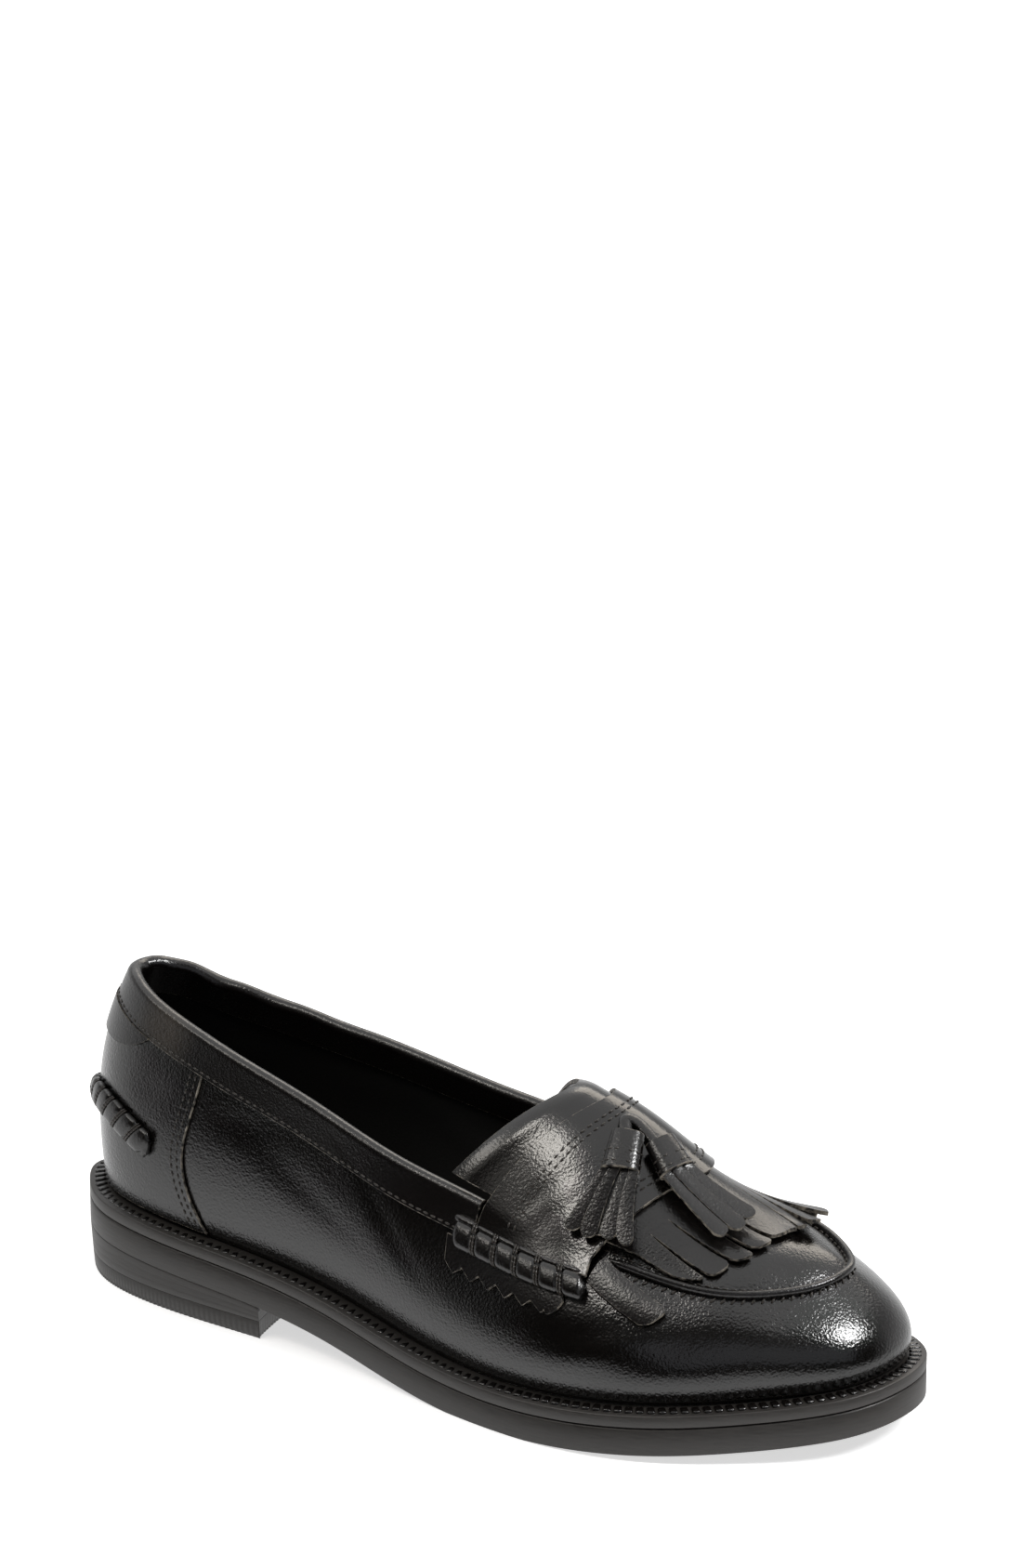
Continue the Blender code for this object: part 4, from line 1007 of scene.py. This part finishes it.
# Lengths of the strips as shares of the way to the tip, bends sideways in millimetres.
tassels = {
    "outer": {
        "top": (0.616, 1.745), "cap": (0.636, 1.515), "tip": (0.661, 1.09),
        "fan": 10.6, "drop": 0.0, "cup": 0.08,
        "lengths": (0.96, 1.0, 0.97, 1.0), "bends": (0.9, -0.3, 0.6, -0.6),
    },
    "inner": {
        "top": (0.634, 1.835), "cap": (0.665, 1.735), "tip": (0.778, 1.58),
        "fan": 8.0, "drop": 0.6, "cup": 0.16,
        "lengths": (0.92, 1.0, 0.97), "bends": (0.4, 0.0, -0.5),
    },
}


def makeTassel(word, look):
    stations = np.array([look["top"], look["cap"], look["tip"]])
    ends = upperPoint(stations[:, 0], stations[:, 1])
    capWide, capDeep, base = tassel["capHalfWidth"], tassel["capDeep"], tassel["base"]
    head, count = tassel["head"], len(look["lengths"])

    def frameAt(station):
        turn, height = (np.interp(station, [0, 1, 2], stations[:, k]) for k in (0, 1))
        normal = upperNormal(turn, height)
        axis = np.where((station <= 1)[:, None], ends[1] - ends[0], ends[2] - ends[1])
        return onUpper(turn, height, 0.0), unit(np.cross(normal, axis)), normal

    def cap(around, along):  # a leather strip rolled round the strips' heads, its lower end cut square
        angle = 2 * np.pi * around
        spot, aside, out = frameAt(along)
        topWide, topDeep = tassel["capTop"]
        wide = capWide * (topWide + (1 - topWide) * along) * bent(np.cos(angle), tassel["capSquare"])
        deep = capDeep * (topDeep + (1 - topDeep) * along) * np.sin(angle)
        return spot + scaled(wide, aside) + scaled(base + capDeep + deep, out)

    def strip(across, along, k, layer):
        corner = tassel["corner"] * along**4 * np.abs(2 * across - 1) ** 3
        reach = (along - corner) * (look["lengths"][k] - tassel["layerShorter"] * layer)
        half = capWide * head + (look["fan"] - capWide * head) * reach
        bend = look["bends"][k] * np.sin(np.pi * np.clip(reach, 0, 1)) / half
        gap, wide = tassel["lane"]
        lane = (k + gap + wide * across + layer * 0.5) / count * 2 - 1 + bend
        spot, aside, out = frameAt(head + (2 - head) * reach)
        rise = tassel["rise"] - tassel["layerDrop"] * layer + tassel["stagger"] * (k % 2)
        lift = base + rise * (1 - 0.5 * reach) - look["drop"] * reach
        cup = look["cup"] * (2 * np.abs(across - 0.5)) ** 2
        return spot + scaled(lane * half, aside) + scaled(lift - cup, out)

    thickness = tassel["thickness"]
    bm = bmesh.new()
    drape(bm, 48, 16, cap)
    weld(bm)
    addPiece("tassel_cap_" + word, bm, sheetSlots, ["tassel_" + word], thickness=-thickness, bevel=0.25)
    bm = bmesh.new()
    for layer in (1, 0):
        for k in range(count - layer):
            addStrip(bm, 8, 24, strip, k, layer)
    addPiece("tassel_strips_" + word, bm, sheetSlots, thickness=thickness, bevel=0.2)
    bm = bmesh.new()
    for along in (0.55, 0.85):  # stitches that close the cap
        angle = np.linspace(0.3, np.pi - 0.3, 6)
        share = np.full_like(angle, along)
        spots = cap(angle / (2 * np.pi), share)
        addStitches(bm, (spots, unit(np.gradient(spots, axis=0)), frameAt(share)[2]), 0.8, 0.3)
    addPiece("tassel_stitches_" + word, bm, [thread])


lace = {
    "halfWidth": 1.8, "halfThick": 0.7, "out": 4.9, "columns": 60,
    "turn": (0.617, 0.606, 0.603, 0.612, 0.6355), "height": (1.735, 1.815, 1.865, 1.885, 1.835),
}


def makeLace():
    share, keys = np.linspace(0, 1, lace["columns"] + 1), np.linspace(0, 1, len(lace["turn"]))
    turn, height = (splineThrough(keys, lace[key])(share) for key in ("turn", "height"))
    normal = upperNormal(turn, height)
    centre = onUpper(turn, height, lace["out"])
    across = unit(np.cross(normal, np.gradient(centre, axis=0)))
    even = np.ones_like(share)
    bm = bmesh.new()
    sweepRoll(bm, 12, centre, across, normal, even * lace["halfWidth"], even * lace["halfThick"])
    closeEnds(bm)
    addPiece("tassel_thong", bm, [strapLeather], ["tassel_lace"])


makeTongue()
makeSaddle()
makeKiltie()
for word, look in tassels.items():
    makeTassel(word, look)
makeLace()
print("instep made")

# Floor, light and camera
stage = {"floorColour": "#f4f4f4", "floorGlow": 0.6, "floorHalf": 12.0}
# Brightness of the studio by how far a direction points up (-1 straight down, 0 level, 1 straight up).
studioRows = {
    "up": (-1.0, -0.55, -0.32, -0.19, 0.1, 0.5, 1.0),
    "front": (1.25, 1.2, 0.8, 0.03, 0.012, 0.03, 0.12),
    "behind": (0.9, 0.9, 0.9, 0.8, 0.7, 0.40, 0.12),
}
studioBack = (-0.52, 0.855, 0.0)  # away from the camera
studioTurn = {"From_Min": -0.32, "From_Max": 0.25}  # from the front's brightness to the one behind


def makeStage():
    bm = bmesh.new()
    bmesh.ops.create_grid(bm, x_segments=2, y_segments=2, size=stage["floorHalf"])
    mesh = bpy.data.meshes.new("studio_floor")
    bm.to_mesh(mesh)
    bm.free()
    floor = addObject("studio_floor", mesh)
    material, tree, shader, place = startMaterial("paleStudioFloor")
    setInputs(tree, shader, Base_Color=linear(stage["floorColour"]), Roughness=0.9)
    setInputs(tree, shader, Emission_Color=linear("#ffffff"), Emission_Strength=stage["floorGlow"])
    mesh.materials.append(material)
    floor.visible_glossy = False  # the leather mirrors the studio below instead, dark towards the horizon
    world = bpy.data.worlds.new("studio")
    bpy.context.scene.world = world
    world.use_nodes = True
    tree = world.node_tree
    way = addNode(tree, "ShaderNodeTexCoord").outputs["Generated"]
    parts = addNode(tree, "ShaderNodeSeparateXYZ", Vector=way)
    height = remap(tree, parts.outputs["Z"], From_Min=-1.0, From_Max=1.0)
    halves = []
    for half in ("front", "behind"):
        ramp = addNode(tree, "ShaderNodeValToRGB", Fac=height)
        stops = ramp.color_ramp.elements
        while len(stops) < len(studioRows["up"]):
            stops.new(0.5)
        for stop, rise, bright in zip(stops, studioRows["up"], studioRows[half]):
            stop.position = rise / 2 + 0.5
            stop.color = (bright, bright, bright, 1.0)
        halves.append(ramp.outputs["Color"])
    along = addNode(tree, "ShaderNodeVectorMath", {"operation": "DOT_PRODUCT"}, _0=way, _1=studioBack)
    ease = {"interpolation_type": "SMOOTHSTEP"}
    share = addNode(tree, "ShaderNodeMapRange", ease, Value=along.outputs["Value"], **studioTurn)
    setInputs(tree, tree.nodes["Background"], Color=blend(tree, share.outputs[0], *halves))


# Soft boxes round the shoe: degrees from the toe and up, distance and size in metres, watts, colour.
softboxes = {
    "keyBox": (-106, 62, 1.6, (0.2, 0.34), 2.6, "#fffaf2"),
    "toeBox": (8, 46, 1.5, (0.36, 0.36), 13, "#ffffff"),
    "backBox": (95, 44, 2.0, (1.4, 0.7), 7.5, "#fff3e2"),
    "edgeBox": (-137, 50, 1.6, (0.68, 0.25), 2.2, "#fffaf2"),
    "keySkirt": (-116, 45, 1.6, (0.5, 0.5), 0.3, "#fffaf2"),
    "sideFill": (-40, 24, 1.9, (2.6, 1.3), 3.6, "#f4f7ff"),
}
skyLook = {"compass": 120, "rise": 70, "spread": 90, "strength": 1.3}  # even light on the whole floor


def addLamp(light, compass, rise, away):  # aimed at the shoe
    turn, rise = math.radians(compass), math.radians(rise)
    lamp = addObject(light.name, light)
    level = math.cos(rise)
    lamp.location = Vector((math.cos(turn) * level, math.sin(turn) * level, math.sin(rise))) * away
    lamp.rotation_euler = (-lamp.location).to_track_quat("-Z", "Y").to_euler()


def makeLights():
    for name, (compass, rise, away, size, watts, colour) in softboxes.items():
        light = bpy.data.lights.new(name, "AREA")
        light.shape = "RECTANGLE"
        light.size, light.size_y = size
        light.energy = watts
        light.color = linear(colour)[:3]
        addLamp(light, compass, rise, away)
    sky = bpy.data.lights.new("skyLight", "SUN")
    sky.energy, sky.angle = skyLook["strength"], math.radians(skyLook["spread"])
    addLamp(sky, skyLook["compass"], skyLook["rise"], 1.0)


cameraLook = {
    "azimuth": 31.3,
    "elevation": 23.2,
    "distance": 1.7,
    "aim": (0.0, 0.0026, 0.035),
    "pixel": (519.5, 1319.5),  # where the aim lies in the picture
    "picture": (1100, 1687),
    "pixelsPerMm": 3.89,
    "sensor": 36,
}


def makeCamera():
    wide, tall = cameraLook["picture"]
    turn, rise = math.radians(cameraLook["azimuth"]), math.radians(cameraLook["elevation"])
    back = Vector((math.sin(turn) * math.cos(rise), -math.cos(turn) * math.cos(rise), math.sin(rise)))
    focal = cameraLook["pixelsPerMm"] * cameraLook["distance"] / mm / tall  # in picture heights
    right = (cameraLook["pixel"][0] - wide / 2) / tall / focal
    above = (tall / 2 - cameraLook["pixel"][1]) / tall / focal
    long = math.sqrt(1 + right**2 + above**2)
    pitch = math.asin(-back.z * long / math.sqrt(1 + above**2)) - math.atan(above)
    yaw = math.atan2(-back.y, -back.x) + math.atan2(right, math.cos(pitch) - above * math.sin(pitch))
    data = bpy.data.cameras.new("photoCamera")
    data.sensor_fit = "VERTICAL"
    data.sensor_height = cameraLook["sensor"]
    data.lens = focal * cameraLook["sensor"]
    camera = addObject("photoCamera", data)
    camera.location = Vector(cameraLook["aim"]) + back * cameraLook["distance"]
    camera.rotation_euler = (math.pi / 2 + pitch, 0, yaw - math.pi / 2)
    bpy.context.scene.camera = camera


makeStage()
makeLights()
makeCamera()
bpy.context.scene.view_settings.view_transform = "Standard"
print("stage made")

bpy.context.view_layer.update()
